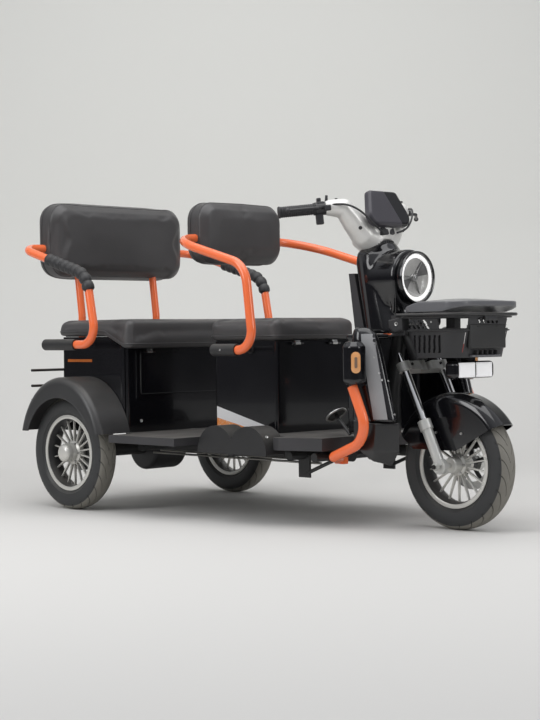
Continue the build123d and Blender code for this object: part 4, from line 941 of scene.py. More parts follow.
def light_up(name, colour, strength):
    """A lit diffuser with fine prisms."""
    material = finish(name, colour, 0.4, grain=900, depth=0.2, dust=0.0)
    adjust(material, {"Emission Color": (*colour, 1), "Emission Strength": strength})
    return material


def turn_part(bm, section, material, steps=72, closed=False):
    """A ring of the lamp about its own axis."""
    grown = [(depth, radius * lamp_growth) for depth, radius in section]
    return lathe(bm, grown, lamp_centre, steps, axis=lamp_axis, closed=closed, material=material)


lamp_glow = light_up("lit_lamp_ring", (1.0, 0.99, 0.97), 0.9)
lamp_bowl = finish(
    "lamp_reflector", (0.62, 0.61, 0.58), 0.2, grain=300, depth=0.05, spread=0.3, slow=30, dust=0, coat=0.5
)
# A darker colour for the bowl's wedges: painted dark reflections.
lamp_dark_reflection = finish(
    "lamp_reflector_dark_reflection", (0.16, 0.155, 0.15), 0.16, grain=300, depth=0.05, spread=0.4, slow=30, dust=0,
    coat=0.5
)
lamp_glass = finish(
    "lamp_glass", (0.97, 0.98, 1.0), 0.03, grain=120, depth=0.02, spread=0.05, dust=0.0, metal=1.0
)
adjust(lamp_glass, {"Alpha": glass_veil})
cowl_matte = finish("cowl_matte_trim", (0.028, 0.028, 0.030), 0.5, grain=800, depth=0.2, dust=0.12)

# Rows of (height, rear, front, half width at the rear, half width in front).
cowl_rows = (
    (0.6065, -0.4880, -0.6470, 0.0880, 0.0500), (0.6600, -0.4790, -0.6260, 0.0880, 0.0520),
    (0.7200, -0.4680, -0.6020, 0.0880, 0.0560), (0.7800, -0.4570, -0.5800, 0.0880, 0.0620),
    (0.8350, -0.4480, -0.5560, 0.0870, 0.0660), (0.8660, -0.4460, -0.5440, 0.0780, 0.0600),
    (0.8790, -0.4520, -0.5330, 0.0620, 0.0500),
)


def level_rim(flip, x, y, radius, height):
    """A level circle of places on one side or the other."""
    return [(flip * across, along, height) for across, along in circle(x, y, radius, 24)]


bm = bmesh.new()
for lower, upper in zip(cowl_rows, cowl_rows[1:]):
    rims = []
    for height, rear, front, rear_half, front_half in (lower, upper):
        middle = rear + (front - rear) * 0.45
        corners = (
            (rear_half, rear, 0.012, -0.012),
            (rear_half, middle, 0.030, 0),
            (front_half, front, 0.030, 0.030),
        )
        for across, along, radius, shift in corners:
            for flip in (1, -1):
                rims += level_rim(flip, across - radius, along + shift, radius, height)
    hull(bm, rims)
post(bm, (0, -0.500, lamp_height), (0, -0.6150, lamp_height), barrel_radius, barrel_radius, 96)
chin_turns = [math.radians(degrees) for degrees in range(-176, -3, 4)]
chin = [(barrel_radius * math.cos(angle), barrel_radius * math.sin(angle)) for angle in chin_turns]
for low_y, high_y, drop in ((-0.6140, -0.5850, 0.668), (-0.5850, -0.5300, 0.640)):
    feet = ((0.040, low_y, drop), (0.058, high_y, drop - 0.02))
    hull(
        bm,
        [(x, y, lamp_height + z) for x, z in chin for y in (low_y, high_y)]
        + [(flip * half, y, height) for flip in (1, -1) for half, y, height in feet],
    )
post(bm, stem_place(0.690), stem_place(0.7460), 0.0720, 0.0590, 64)
melt("front_cowl_moulding", bm, 0.0034, 30, "chassis", "panel_black", gloss_black, covers=("front_cowl",))
bm = bmesh.new()
turn_part(bm, bezel_section, 0, closed=True)
turn_part(bm, glow_section, 1, closed=True)
for face in turn_part(bm, bowl_section, 2):
    place = face.calc_center_median() - lamp_centre
    clock = math.degrees(math.atan2(place.z, place.x)) % 360
    # Faces in the wedges take the darker colour of painted reflections.
    if any(start < clock < end for start, end in dark_reflection_wedges):
        face.material_index = 4
turn_part(bm, bulb_section, 3, 32)
bmesh.ops.remove_doubles(bm, verts=bm.verts, dist=1e-6)
for fin in range(3):
    fin_turn = Matrix.Rotation(math.radians(35 + 120 * fin), 4, "Y")
    seat = Matrix.Translation(lamp_centre + Vector((0, 0.0165, 0))) @ fin_turn
    add_bar(bm, (0.0024, 0.007, 0.050), seat @ Matrix.Translation((0, 0, 0.034)), bevel=0.0006, material=3)
finishes = (gloss_black, lamp_glow, lamp_bowl, bolt_steel, lamp_dark_reflection)
build("headlamp_body", bm, "chassis", "panel_black", *finishes, covers=("headlamp",))
bm = bmesh.new()
turn_part(bm, glass_section, 0, 64)
bmesh.ops.remove_doubles(bm, verts=bm.verts, dist=1e-6)
bmesh.ops.recalc_face_normals(bm, faces=bm.faces)
bmesh.ops.solidify(bm, geom=bm.faces[:], thickness=0.0015)
build("headlamp_glass", bm, "chassis", "lens", lamp_glass)
for flip, hand in ((1, "left"), (-1, "right")):
    route = [(flip * 0.0795, y, z) for y, z in cowl_strip]
    run_tube(f"{hand}_cowl_strip", route, 0.0105, "chassis", cowl_matte, kind="NURBS")
seam_turns = [math.radians(degrees) for degrees in range(-118, 119, 4)]
nacelle_seam = [
    (seam_radius * math.sin(angle), -0.520, lamp_height + seam_radius * math.cos(angle))
    for angle in seam_turns
]
run_tube("nacelle_seam", nacelle_seam, 0.0008, "chassis", cowl_matte, kind="NURBS")


# ---------------------------------------------------------------- inner leg panel
# A matte moulded panel faces the driver's knees, with a coat hook and the key switch.
# It is screwed to the cowl from behind, and the switch has a bright turned bezel.
key_start = Vector((-0.040, -0.2, 0.660))
panel_plastic = finish("inner_panel_plastic", (0.026, 0.026, 0.029), 0.5, grain=900, depth=0.25, dust=0.2)
key_ring_red = finish(
    "anodised_red_ring", (0.20, 0.03, 0.035), 0.3, grain=700, depth=0.05, dust=0, metal=0.8
)
dress(panel_plastic, "inner_leg_panel")
spot, out = surface_at("inner_leg_panel", key_start, (0, -1, 0))
bm = bmesh.new()
bezel = (
    (0.0, 0.0), (0.0, 0.013), (0.003, 0.0138), (0.0045, 0.0125), (0.005, 0.0085), (0.003, 0.008),
    (0.003, 0.0)
)
lathe(bm, bezel, spot, 36, axis=out)
bmesh.ops.remove_doubles(bm, verts=bm.verts, dist=1e-6)
key_turn = Matrix.Translation(spot) @ facing(out)
block(bm, (-0.0012, -0.0055, 0.002), (0.0012, 0.0055, 0.0042), 0.0004, matrix=key_turn, material=1)
build("key_switch", bm, "chassis", "steel", key_ring_red, bolt_steel)


# ---------------------------------------------------------------- leg shield and lower cowl
# Two domed cheeks in gloss black stand either side of the fork, joined by a wall behind the wheel.
# A grey strip runs down each outer corner, a painted highlight where light catches the rounded gloss
# corner, with a few small screws beside it.
cheek_screws = ((-0.2154, 0.4868), (-0.2134, 0.4654), (-0.1922, 0.4619), (-0.2184, 0.5356), (-0.196, 0.360))
# The grey of the corner strips is a painted highlight on the glossy rounded corner.
corner_highlight_grey = finish(
    "cheek_corner_highlight_grey", (0.30, 0.30, 0.305), 0.34, grain=600, depth=0.08, spread=0.12, dust=0.08
)
faceted_black = finish(
    "lower_cowl_black", (0.010, 0.010, 0.011), 0.3, grain=700, depth=0.08, dust=0.12, coat=0.4
)
# Rows of (height, inner side, outer side, inner front, outer front, rear, corner radius).
cheek_rows = (
    (0.6275, 0.200, 0.224, -0.604, -0.592, -0.572, 0.010),
    (0.6220, 0.190, 0.232, -0.618, -0.602, -0.566, 0.014),
    (0.6080, 0.1815, 0.2375, -0.633, -0.610, -0.563, 0.018),
    (0.5880, 0.1775, 0.240, -0.644, -0.6150, -0.560, 0.022),
    (0.5500, 0.176, 0.240, -0.6550, -0.6215, -0.560, 0.022),
    (0.3365, 0.176, 0.240, -0.711, -0.665, -0.560, 0.022),
)
cowl_foot_rows = ((0.3335, -0.711, -0.665, -0.575), (0.245, -0.706, -0.661, -0.575))
cheek_web = ((0.176, -0.600), (0.186, -0.575), (0.160, -0.500), (0.172, -0.492))
strip_top = 0.6060
strip_pitch = 0.0137
cheek_rake = 0.204
diagonal = 0.7071
cheek_inner = 0.176
cheek_outer = 0.240
cowl_toe = (
    (cheek_inner, -0.706, 0.247),
    (cheek_outer, -0.661, 0.247),
    (cheek_inner, -0.60, 0.247),
    (cheek_outer, -0.60, 0.247),
    (cheek_inner, -0.676, 0.200),
    (0.225, -0.640, 0.216),
)
bm = bmesh.new()
for flip in (1, -1):
    for upper, lower in zip(cheek_rows, cheek_rows[1:]):
        rims = []
        for height, inner, outer, inner_front, outer_front, rear, radius in (upper, lower):
            for x, y in (
                (inner + radius, inner_front + radius),
                (outer - radius, outer_front + radius),
                (inner + radius, rear - radius),
                (outer - radius, rear - radius),
            ):
                rims += level_rim(flip, x, y, radius, height)
        hull(bm, rims)
    inner, outer = sorted((flip * 0.140, flip * 0.172))
    block(bm, (inner, -0.500, 0.292), (outer, -0.488, 0.604), 0.004)
    hull(bm, [(flip * x, y, z) for x, y in cheek_web for z in (0.300, 0.596)])
    inner, outer = sorted((flip * 0.094, flip * 0.180))
    block(bm, (inner, -0.602, 0.590), (outer, -0.488, 0.606), 0.004)
block(bm, (-0.170, -0.501, 0.2905), (0.170, -0.487, 0.604), 0.003)
melt("leg_shield_moulding", bm, 0.0042, 14, "chassis", "panel_black", gloss_black, covers=("leg_shield",))
bm = bmesh.new()
for flip in (1, -1):
    corners = []
    for height, inner_front, outer_front, rear in cowl_foot_rows:
        corners += [(flip * cheek_inner, inner_front, height), (flip * cheek_outer, outer_front, height)]
        corners += [(flip * cheek_inner, rear, height + 0.009), (flip * cheek_outer, rear, height + 0.009)]
    hull(bm, corners)
    hull(bm, [(flip * x, y, z) for x, y, z in cowl_toe])
melt("lower_cowl_moulding", bm, 0.003, 4, "chassis", "panel_black", faceted_black, covers=("lower_cowl",))
bm = bmesh.new()
for across, height in cheek_screws:
    for flip in (1, -1):
        spot, out = surface_at("leg_shield_moulding", (flip * across, -0.9, height), (0, 1, 0))
        drive_screw(bm, spot, out, 0.0036, 0.002, 14)
build("cheek_screws", bm, "chassis", "steel", bolt_steel)


def lay_strip(name, across, rows, wide, thick, body, slot, material, node, direction):
    """A thin strip laid on a piece, its rows of starts thrown along a direction."""
    bm = bmesh.new()
    grid = []
    side = Vector((-direction.y, direction.x, 0))
    for start in rows:
        line = []
        for share in across:
            spot, out = surface_at(node, start + side * share * wide, direction)
            line.append(bm.verts.new(spot + out * thick * (0.2 if abs(share) > 0.45 else 1.0)))
        grid.append(line)
    for upper, lower in zip(grid, grid[1:]):
        for a, b, c, d in zip(upper, upper[1:], lower[1:], lower):
            bm.faces.new((a, b, c, d))
    bmesh.ops.recalc_face_normals(bm, faces=bm.faces)
    bmesh.ops.solidify(bm, geom=bm.faces[:], thickness=thick)
    build(name, bm, body, slot, material)


# Lay the grey strip on each cheek's front corner, a painted highlight.
for flip, hand in ((1, "left"), (-1, "right")):
    inward = Vector((-flip * diagonal, diagonal, 0))
    rearward = Vector((flip * diagonal, diagonal, 0)) * 0.012
    rows = []
    for step in range(20):
        height = strip_top - strip_pitch * step
        lean = max(0, 3 - step) * 0.002
        corner = Vector((flip * (0.220 - lean), -0.6435 - (0.5500 - height) * cheek_rake, height))
        rows.append(corner - inward * 0.2 + rearward)
    where = ("chassis", "panel_matte", corner_highlight_grey, "leg_shield_moulding", inward)
    lay_strip(f"{hand}_cheek_highlight_strip", (-0.5, -0.25, 0, 0.25, 0.5), rows, 0.042, 0.0014, *where)


# ---------------------------------------------------------------- crash bars and turn signals
# Bent steel tubes in bright orange powder coat guard both sides, bolted to the floor brackets.
# A gloss black capsule on the top of each carries the amber turn signal.
flange_bolts = ((-0.488, 0.211), (-0.472, 0.211))
housing_corners = (
    (0.2745, -0.6135, 0.029), (0.2610, -0.6250, 0.0175), (0.2830, -0.5995, 0.0205),
    (0.2610, -0.5970, 0.0175),
)
orange_coat = finish(
    "orange_powder_coat", (1.0, 0.185, 0.055), 0.25, grain=380, depth=0.05, spread=0.06, dust=0.04, coat=0.5
)
amber_lens = finish("amber_lens", (0.75, 0.36, 0.14), 0.25, grain=800, depth=0.1, dust=0.0, coat=0.6)
amber_core = finish("amber_reflector", (0.20, 0.13, 0.09), 0.35, grain=500, depth=0.2, dust=0.0)
dress(orange_coat, "crash_bars")
bm = bmesh.new()
for flip in (1, -1):
    rims = []
    for height, inset in ((0.4530, 0.010), (0.4640, 0.0), (0.5680, 0.0), (0.5830, 0.012)):
        for x, y, radius in housing_corners:
            rims += level_rim(flip, x, y, radius - inset, height)
    hull(bm, rims)
melt("signal_housings", bm, 0.0022, 8, "chassis", "panel_black", gloss_black, covers=("signal_boxes",))
bm = bmesh.new()
for flip in (1, -1):
    for along, height in flange_bolts:
        spot, out = surface_at("crash_bars", (flip * 0.4, along, height), (-flip, 0, 0))
        drive_screw(bm, spot, out, 0.0060, 0.004, 6)
build("crash_bar_bolts", bm, "chassis", "steel", dark_screw)


def mould_signal_lens(bm, centre, turn):
    """An oval ribbed lens with its darker core."""
    for wide, high, rise, material in ((0.0140, 0.0325, 0.0040, 0), (0.0045, 0.0170, 0.0056, 1)):
        seat = Matrix.Translation(centre) @ turn @ Matrix.Translation((0, 0, rise / 2))
        low = Vector((-wide, -high, -rise / 2 - 0.002))
        high_corner = Vector((wide, high, rise / 2))
        size = high_corner - low
        place = seat @ Matrix.Translation((low + high_corner) / 2) @ Matrix.Diagonal((*size, 1))
        made = bmesh.ops.create_cube(bm, size=1, matrix=place)["verts"]
        out = (turn @ Vector((0, 0, 1, 0))).to_3d()
        edges = {e for v in made for e in v.link_edges}
        upright = [e for e in edges if abs((e.verts[0].co - e.verts[1].co).normalized().dot(out)) > 0.9]
        faces = round_edges(bm, upright, wide * 0.98, 8)
        top = max(faces, key=lambda f: f.normal.dot(out) * f.calc_area())
        ring = bmesh.ops.inset_region(bm, faces=[top], thickness=wide * 0.25, depth=rise * 0.3)
        for face in faces | set(ring["faces"]) | {top}:
            face.material_index = material


bm = bmesh.new()
for flip in (1, -1):
    turn = Matrix.Rotation(math.radians(flip * 40), 4, "Z") @ Matrix.Rotation(math.radians(90), 4, "X")
    mould_signal_lens(bm, Vector((flip * 0.2925, -0.6355, 0.520)), turn)
build("signal_lenses", bm, "chassis", "lens", amber_lens, amber_core)


# ---------------------------------------------------------------- front basket
# An injection moulded tub in matte black with slotted sides, open corner windows and a ledge.
# It hangs in a bent steel ring, with a rounded lid over it and a blank plate clipped in front. The lid's
# grey is lighter than its dark plastic: partly its own colour, partly painted highlight on its top.
basket_low = 0.531
basket_high = 0.656
basket_ledge = 0.612
basket_draft = 0.020
basket_rear_draft = 0.032
basket_wall = 0.0028
basket_pitch = 0.0032
side_slots = (0.737, 0.7545, 0.772, 0.7895)
lower_slots = (0.737, 0.7565, 0.776, 0.7955, 0.815, 0.8345)
nose_slots = (-0.042, -0.021, 0.0, 0.021, 0.042)
tub_plastic = finish(
    "basket_plastic", (0.028, 0.028, 0.030), 0.46, grain=700, depth=0.25, spread=0.15, dust=0.18
)
# The lid's grey is partly its dark plastic and partly painted highlight on its top.
lid_highlight_grey = finish(
    "basket_lid_painted_highlight", (0.135, 0.136, 0.145), 0.32, grain=800, depth=0.10, spread=0.12, dust=0.25
)
plate_plastic = finish("blank_plate", (0.022, 0.022, 0.022), 0.5, grain=900, depth=0.2, dust=0.1)


def plan_loop(half, rear, front, rear_corner, front_corner, pitch):
    """Evenly spaced places round a plan with rounded corners."""
    places = []
    corners = (
        (half, rear, rear_corner, 0),
        (-half, rear, rear_corner, 90),
        (-half, front, front_corner, 180),
        (half, front, front_corner, 270),
    )
    for x, y, radius, start in corners:
        centre = Vector((x - math.copysign(radius, x), y + (-radius if y == rear else radius)))
        for step in range(17):
            angle = math.radians(start + 90 * step / 16)
            places.append(centre + radius * Vector((math.cos(angle), math.sin(angle))))
    places.append(places[0])
    lengths = [(b - a).length for a, b in zip(places, places[1:])]
    count = round(sum(lengths) / pitch)
    loop = []
    run, index = 0.0, 0
    for number in range(count):
        target = sum(lengths) * number / count
        while run + lengths[index] < target:
            run += lengths[index]
            index += 1
        loop.append(places[index].lerp(places[index + 1], (target - run) / max(lengths[index], 1e-9)))
    return loop


def raise_wall(bm, rows, count):
    """Extrude a closed loop of places through rows of (height, loop)."""
    height, first = rows[0]
    verts = [bm.verts.new((*place, height)) for place in first]
    edges = [bm.edges.new((verts[n], verts[(n + 1) % count])) for n in range(count)]
    for height, loop in rows[1:]:
        grown = bmesh.ops.extrude_edge_only(bm, edges=edges)
        fresh = [g for g in grown["geom"] if isinstance(g, bmesh.types.BMVert)]
        above = {}
        for vert in fresh:
            for edge in vert.link_edges:
                other = edge.other_vert(vert)
                if other not in fresh:
                    above[other] = vert
        verts = [above[v] for v in verts]
        for vert, place in zip(verts, loop):
            vert.co = (*place, height)
        edges = [bm.edges.get((verts[n], verts[(n + 1) % count])) for n in range(count)]


def in_basket_opening(place):
    """True where the tub is slotted or cut away for a window."""
    x, y, z = abs(place.x), place.y, place.z
    if z > basket_ledge + 0.006 and z < 0.6515:
        if -0.838 < y < -0.730 and x > 0.1:
            lean = y - (z - 0.634) * 0.55
            return any(abs(lean + middle) < 0.0048 and z < 0.645 for middle in side_slots)
        if y < -0.838 and x > 0.094:
            return z > 0.6175
        if y > -0.730:
            return z > 0.6175
        if y < -0.9 and x < 0.06 and z > 0.634:
            lean = place.x + (z - 0.643) * 0.5
            return any(abs(lean - middle) < 0.0052 for middle in nose_slots)
    if 0.546 < z < 0.601 and -0.872 < y < -0.724 and x > 0.1:
        lean = y + (z - 0.575) * 0.16
        return any(abs(lean + middle) < 0.0042 for middle in lower_slots)
    return False


def basket_loop(height, grow=0.0, count=0):
    """The tub's outline at a height."""
    share = (basket_high - height) / (basket_high - basket_low)
    half = 0.150 - basket_draft * share + grow
    rear = -0.696 - basket_rear_draft * share + grow
    front = -0.914 + basket_draft * share - grow
    loop = plan_loop(half, rear, front, 0.020, 0.060, basket_pitch)
    if count and len(loop) != count:
        size = sum((b - a).length for a, b in zip(loop, loop[1:] + loop[:1]))
        pitch = size / count
        loop = plan_loop(half, rear, front, 0.020, 0.060, pitch)[:count]
    return loop


def mould_tub():
    """The tub with its slots, its ledge and its closed floor."""
    bm = bmesh.new()
    count = len(basket_loop(basket_high))
    heights = [basket_low + 0.003 * n for n in range(27)]
    rows = [(h, basket_loop(h, 0, count)) for h in heights]
    for height, grow in ((0.6105, 0.0005), (0.6118, 0.0045), (0.6150, 0.0045), (0.6165, 0.0)):
        rows.append((height, basket_loop(height, grow, count)))
    rows += [(0.6165 + 0.003 * n, basket_loop(0.6165 + 0.003 * n, 0.0, count)) for n in range(1, 12)]
    rows += [(h, basket_loop(h, 0.0038, count)) for h in (0.6515, basket_high)]
    raise_wall(bm, rows, count)
    floor_loop = [v for v in bm.verts if v.co.z < basket_low + 1e-5]
    floor_edges = [e for e in bm.edges if all(v in floor_loop for v in e.verts)]
    bmesh.ops.holes_fill(bm, edges=floor_edges, sides=0)
    cut = [f for f in bm.faces if len(f.verts) == 4 and in_basket_opening(f.calc_center_median())]
    bmesh.ops.delete(bm, geom=cut, context="FACES")
    bmesh.ops.recalc_face_normals(bm, faces=bm.faces)
    floor = max(bm.faces, key=lambda f: len(f.verts))
    if floor.normal.z > 0:
        bmesh.ops.reverse_faces(bm, faces=bm.faces[:])
    bmesh.ops.solidify(bm, geom=bm.faces[:], thickness=basket_wall)
    build(
        "basket_tub_moulding", bm, "chassis", "panel_matte", tub_plastic, covers=("basket_tub",), degrees=30
    )


def lid_place(x, y, upper):
    """The height of the lid's skin over a place in plan."""
    forward = min(1.0, max(0.0, (-0.693 - y) / 0.090))
    rise = min(1.0, max(0.0, (-0.860 - y) / 0.069))
    if upper:
        crown = 0.0012 * (1 - min(1.0, abs(x) / 0.15) ** 2)
        along = min(1.0, max(0.0, (-0.700 - y) / 0.228))
        crown += 0.0085 * (1 - min(1.0, abs(x) / 0.155) ** 2) * math.sin(math.pi * along)
        return 0.6845 + 0.0168 * (forward * forward * (3 - 2 * forward)) + crown
    return 0.6690 + 0.0175 * rise


def mould_lid():
    """The rounded tray that closes the basket, with its hinge knuckles."""
    bm = bmesh.new()
    loop = plan_loop(0.159, -0.694, -0.928, 0.050, 0.056, 0.006)
    verts = [bm.verts.new((*place, 0.67)) for place in loop]
    base = bm.faces.new(verts)
    fans = bmesh.ops.extrude_face_region(bm, geom=[base])
    upper = [g for g in fans["geom"] if isinstance(g, bmesh.types.BMVert)]
    for vert in upper:
        vert.co.z = 0.70
    bmesh.ops.triangulate(bm, faces=[f for f in bm.faces if len(f.verts) > 4])
    for step in range(1, 39):
        offset = -0.694 - 0.234 * step / 39
        whole = bm.verts[:] + bm.edges[:] + bm.faces[:]
        bmesh.ops.bisect_plane(bm, geom=whole, plane_co=(0, offset, 0), plane_no=(0, 1, 0))
    for vert in bm.verts:
        vert.co.z = lid_place(vert.co.x, vert.co.y, vert.co.z > 0.685)
    for flip in (1, -1):
        post(bm, (flip * 0.0605, -0.6862, 0.662), (flip * 0.0895, -0.6862, 0.662), 0.0085, 0.0085, 24)
        inner, outer = sorted((flip * 0.0610, flip * 0.0890))
        block(bm, (inner, -0.712, 0.664), (outer, -0.684, 0.676), 0.002)
    melt(
        "basket_lid_moulding", bm, 0.0026, 5, "basket_cover", "panel_matte", lid_highlight_grey,
        covers=("basket_lid",)
    )


mould_tub()
mould_lid()
bm = bmesh.new()
block(
    bm, (-0.088, -0.9175, 0.5585), (0.088, -0.9060, 0.6310), 0.004,
    matrix=Matrix.Translation((0, 0.0045, 0))
)
block(bm, (-0.030, -0.9260, 0.6420), (0.030, -0.9175, 0.6640), 0.003, material=1)
for flip in (1, -1):
    block(
        bm, (flip * 0.045 - 0.009, -0.9150, 0.6235), (flip * 0.045 + 0.009, -0.9122, 0.6270), 0.0013,
        material=2
    )
for tick in range(-2, 3):
    block(
        bm, (tick * 0.024 - 0.0022, -0.9100, 0.5400), (tick * 0.024 + 0.0022, -0.8955, 0.5530), 0.001,
        material=2
    )
block(bm, (-0.070, -0.9065, 0.5330), (0.070, -0.8950, 0.5385), 0.002, material=3)
build(
    "basket_front_plate", bm, "chassis", "panel_matte", plate_plastic, tub_plastic, groove_rubber,
    lid_highlight_grey
)
bracket_screw = finish("zinc_screw", (0.62, 0.62, 0.60), 0.32, grain=500, depth=0.1, spread=0.2, metal=0.6)
bm = bmesh.new()
bracket_plate = ((-0.642, 0.648), (-0.700, 0.658), (-0.700, 0.616), (-0.664, 0.607), (-0.644, 0.624))
bracket_bar = ((-0.700, 0.616), (-0.694, 0.600), (-0.655, 0.610), (-0.620, 0.596))
for flip in (1, -1):
    if flip < 0:
        hull(bm, [(flip * (0.117 + wide), y, z) for y, z in bracket_plate for wide in (0, 0.034)])
    hull(bm, [(flip * x, y, z) for x in (0.119, 0.135) for y, z in bracket_bar])
melt("basket_brackets", bm, 0.0024, 6, "chassis", "frame_black", tub_plastic)
bm = bmesh.new()
for flip in (1, -1):
    drive_screw(bm, (flip * 0.1497, -0.676, 0.636), (flip, 0, 0), 0.0068, 0.003)
    spot, out = surface_at("basket_tub", (flip * 0.3, -0.808, 0.6145), (-flip, 0, 0))
    drive_screw(bm, (flip * 0.1475, -0.812, 0.640), out, 0.0030, 0.002, 14)
build("basket_screws", bm, "chassis", "steel", bracket_screw)
reflector_rows = [(-0.0985, -1.0, 0.607 - 0.0085 * step) for step in range(8)]
reflector_white = finish("reflector_white", (0.62, 0.60, 0.58), 0.3, grain=900, depth=0.15, dust=0)
reflector_red = finish("reflector_red", (0.45, 0.05, 0.04), 0.3, grain=900, depth=0.15, dust=0)
reflectors = (("white", reflector_rows[:5], reflector_white), ("red", reflector_rows[4:], reflector_red))
for label, rows, material in reflectors:
    for flip, hand in ((1, "left"), (-1, "right")):
        placed = [Vector((-flip * x, y, z)) for x, y, z in rows]
        where = ("chassis", "lens", material, "basket_tub", Vector((0, 1, 0)))
        lay_strip(f"{hand}_reflector_{label}", (-0.5, 0, 0.5), placed, 0.0045, 0.0008, *where)


# ---------------------------------------------------------------- fog lamps
# Twin rectangular driving lamps in one black housing, bracketed under the basket.
# Each has a white lens with a fine moulded grid, lit evenly from behind.
grid_pitch = 260.0
fog_lens = light_up("fog_lens_white", (0.92, 0.92, 0.93), 0.35)
fog_tree = fog_lens.node_tree
fog_place = add_node(fog_tree, "TexCoord").outputs["Object"]
fog_turn = add_node(fog_tree, "Mapping", {"Vector": fog_place, "Rotation": (math.pi / 2, 0, 0)})
fog_values = {"Vector": fog_turn.outputs["Vector"], "Scale": grid_pitch, "Mortar Size": 0.03}
fog_grid = add_node(fog_tree, "TexBrick", fog_values, offset=0.0)
fog_bump = add_node(
    fog_tree, "Bump", {"Height": fog_grid.outputs["Fac"], "Strength": 0.6, "Distance": 0.001}
)
fog_tree.links.new(fog_bump.outputs["Normal"], fog_tree.nodes["Principled BSDF"].inputs["Normal"])
bm = bmesh.new()
block(bm, (-0.097, -0.8625, 0.4665), (0.097, -0.818, 0.5195), 0.012, 5)
block(bm, (-0.018, -0.850, 0.512), (0.018, -0.818, 0.5335), 0.003)
melt("fog_lamp_housing", bm, 0.0022, 5, "chassis", "panel_black", gloss_black, covers=("fog_lamps",))
bm = bmesh.new()
for flip in (1, -1):
    inner, outer = sorted((flip * 0.0035, flip * 0.0800))
    block(bm, (inner, -0.8655, 0.4705), (outer, -0.855, 0.5155), 0.003)
build("fog_lamp_lenses", bm, "chassis", "lens", fog_lens)


# ---------------------------------------------------------------- floor, step shells and pedal
# Pressed steel floor boards under black rubber mats, with moulded shells over the side steps.
# The brake pedal is a round plate with a bright rolled rim on a bent rod.
pedal_centre = Vector((-0.150, -0.419, 0.350))
pedal_normal = Vector((0, 0.6, 0.8))
pedal_radius = 0.0330
mat_rubber = finish("floor_mat", (0.042, 0.041, 0.044), 0.50, grain=500, depth=0.3, spread=0.2, dust=0.45)
shell_plastic = finish("step_shell_plastic", (0.017, 0.017, 0.018), 0.40, grain=600, depth=0.25, dust=0.3)
dress(mat_rubber, "front_floor_board", "rear_floor_board")
dress(shell_plastic, "step_shells")
dress(bar_black, "brake_pedal")
across = pedal_normal.cross(spin_axis).normalized()
pedal_circle = circle(0, 0, pedal_radius, 48)
rim_loop = [pedal_centre + spin_axis * x + across * y for x, y in pedal_circle]
run_tube("pedal_rim", rim_loop, 0.0036, "chassis", bolt_steel, loop=True)
bm = bmesh.new()
for ring in (0.010, 0.018, 0.0255):
    section = ((0.0, ring), (0.0012, ring + 0.0006), (0.0012, ring + 0.0028), (0.0, ring + 0.0034))
    lathe(bm, section, pedal_centre + pedal_normal * 0.0028, 40, axis=pedal_normal, closed=True)
build("pedal_tread", bm, "chassis", "rubber_black", grip_rubber)
bm = bmesh.new()
for flip in (1, -1):
    for along in (-0.300, -0.010):
        spot, out = surface_at("step_shells", (flip * 0.345, along, 0.5), (0, 0, -1))
        drive_screw(bm, spot, out, 0.0055, 0.003, 16)
build("step_screws", bm, "chassis", "steel", bracket_screw)


# ---------------------------------------------------------------- driver's seat box
# A sheet steel box in gloss black on the floor, open inside for the battery.
# A white band and a speckled orange wedge are lacquered on both sides.
box_side = 0.180
band_slope = 0.2536
band_top = 0.3407
wedge_slope = 0.2029
wedge_top = 0.3071
wedge_front = -0.060
decal_white = (0.80, 0.80, 0.80, 1)
decal_orange = (0.80, 0.26, 0.055, 1)
box_black = finish(
    "seat_box_lacquer", (0.006, 0.006, 0.0075), 0.12, grain=900, depth=0.02, spread=0.3, slow=3, dust=0.03,
    coat=0.35
)
box_tree = box_black.node_tree


def paint_over(tree, mask, colour):
    """Lay a colour over the material where a mask is 1."""
    skin = tree.nodes["Principled BSDF"].inputs["Base Color"]
    tree.links.new(blend(tree, mask, skin.links[0].from_socket, colour), skin)


def below(tree, slope, limit, along, height):
    """1 below a sloping line on the side."""
    level = reckon(tree, "SUBTRACT", height, reckon(tree, "MULTIPLY", along, slope))
    return reckon(tree, "LESS_THAN", level, limit)


box_x, box_y, box_z = place_sockets(box_tree)
on_side = reckon(box_tree, "GREATER_THAN", reckon(box_tree, "ABSOLUTE", box_x), box_side - 0.0004)
under_band = below(box_tree, band_slope, band_top, box_y, box_z)
under_wedge = below(box_tree, wedge_slope, wedge_top, box_y, box_z)
behind = reckon(box_tree, "GREATER_THAN", box_y, wedge_front)
band_mask = reckon(box_tree, "MULTIPLY", on_side, under_band)
side_foot = reckon(box_tree, "MULTIPLY", on_side, under_wedge)
wedge_mask = reckon(box_tree, "MULTIPLY", side_foot, behind)
foot_mask = reckon(box_tree, "MULTIPLY", side_foot, reckon(box_tree, "SUBTRACT", 1.0, behind))
speckle_place = add_node(box_tree, "TexCoord").outputs["Object"]
speckle = add_node(box_tree, "TexNoise", {"Vector": speckle_place, "Scale": 260.0})
specks = reckon(box_tree, "GREATER_THAN", speckle.outputs["Fac"], 0.60)
speckled_orange = blend(box_tree, specks, decal_orange, (0.75, 0.58, 0.42, 1))
paint_over(box_tree, band_mask, decal_white)
paint_over(box_tree, foot_mask, (0.006, 0.006, 0.0075, 1))
paint_over(box_tree, wedge_mask, speckled_orange)
dress(box_black, "driver_seat_box")
seal_corner = 0.012
seal_plan = plan_loop(0.1765, 0.1145, -0.1805, seal_corner, seal_corner, 0.012)
seal_places = [(*place, 0.5880) for place in seal_plan]
run_tube("driver_box_seal", seal_places, 0.0016, "chassis", seal_rubber, loop=True, fine=2)


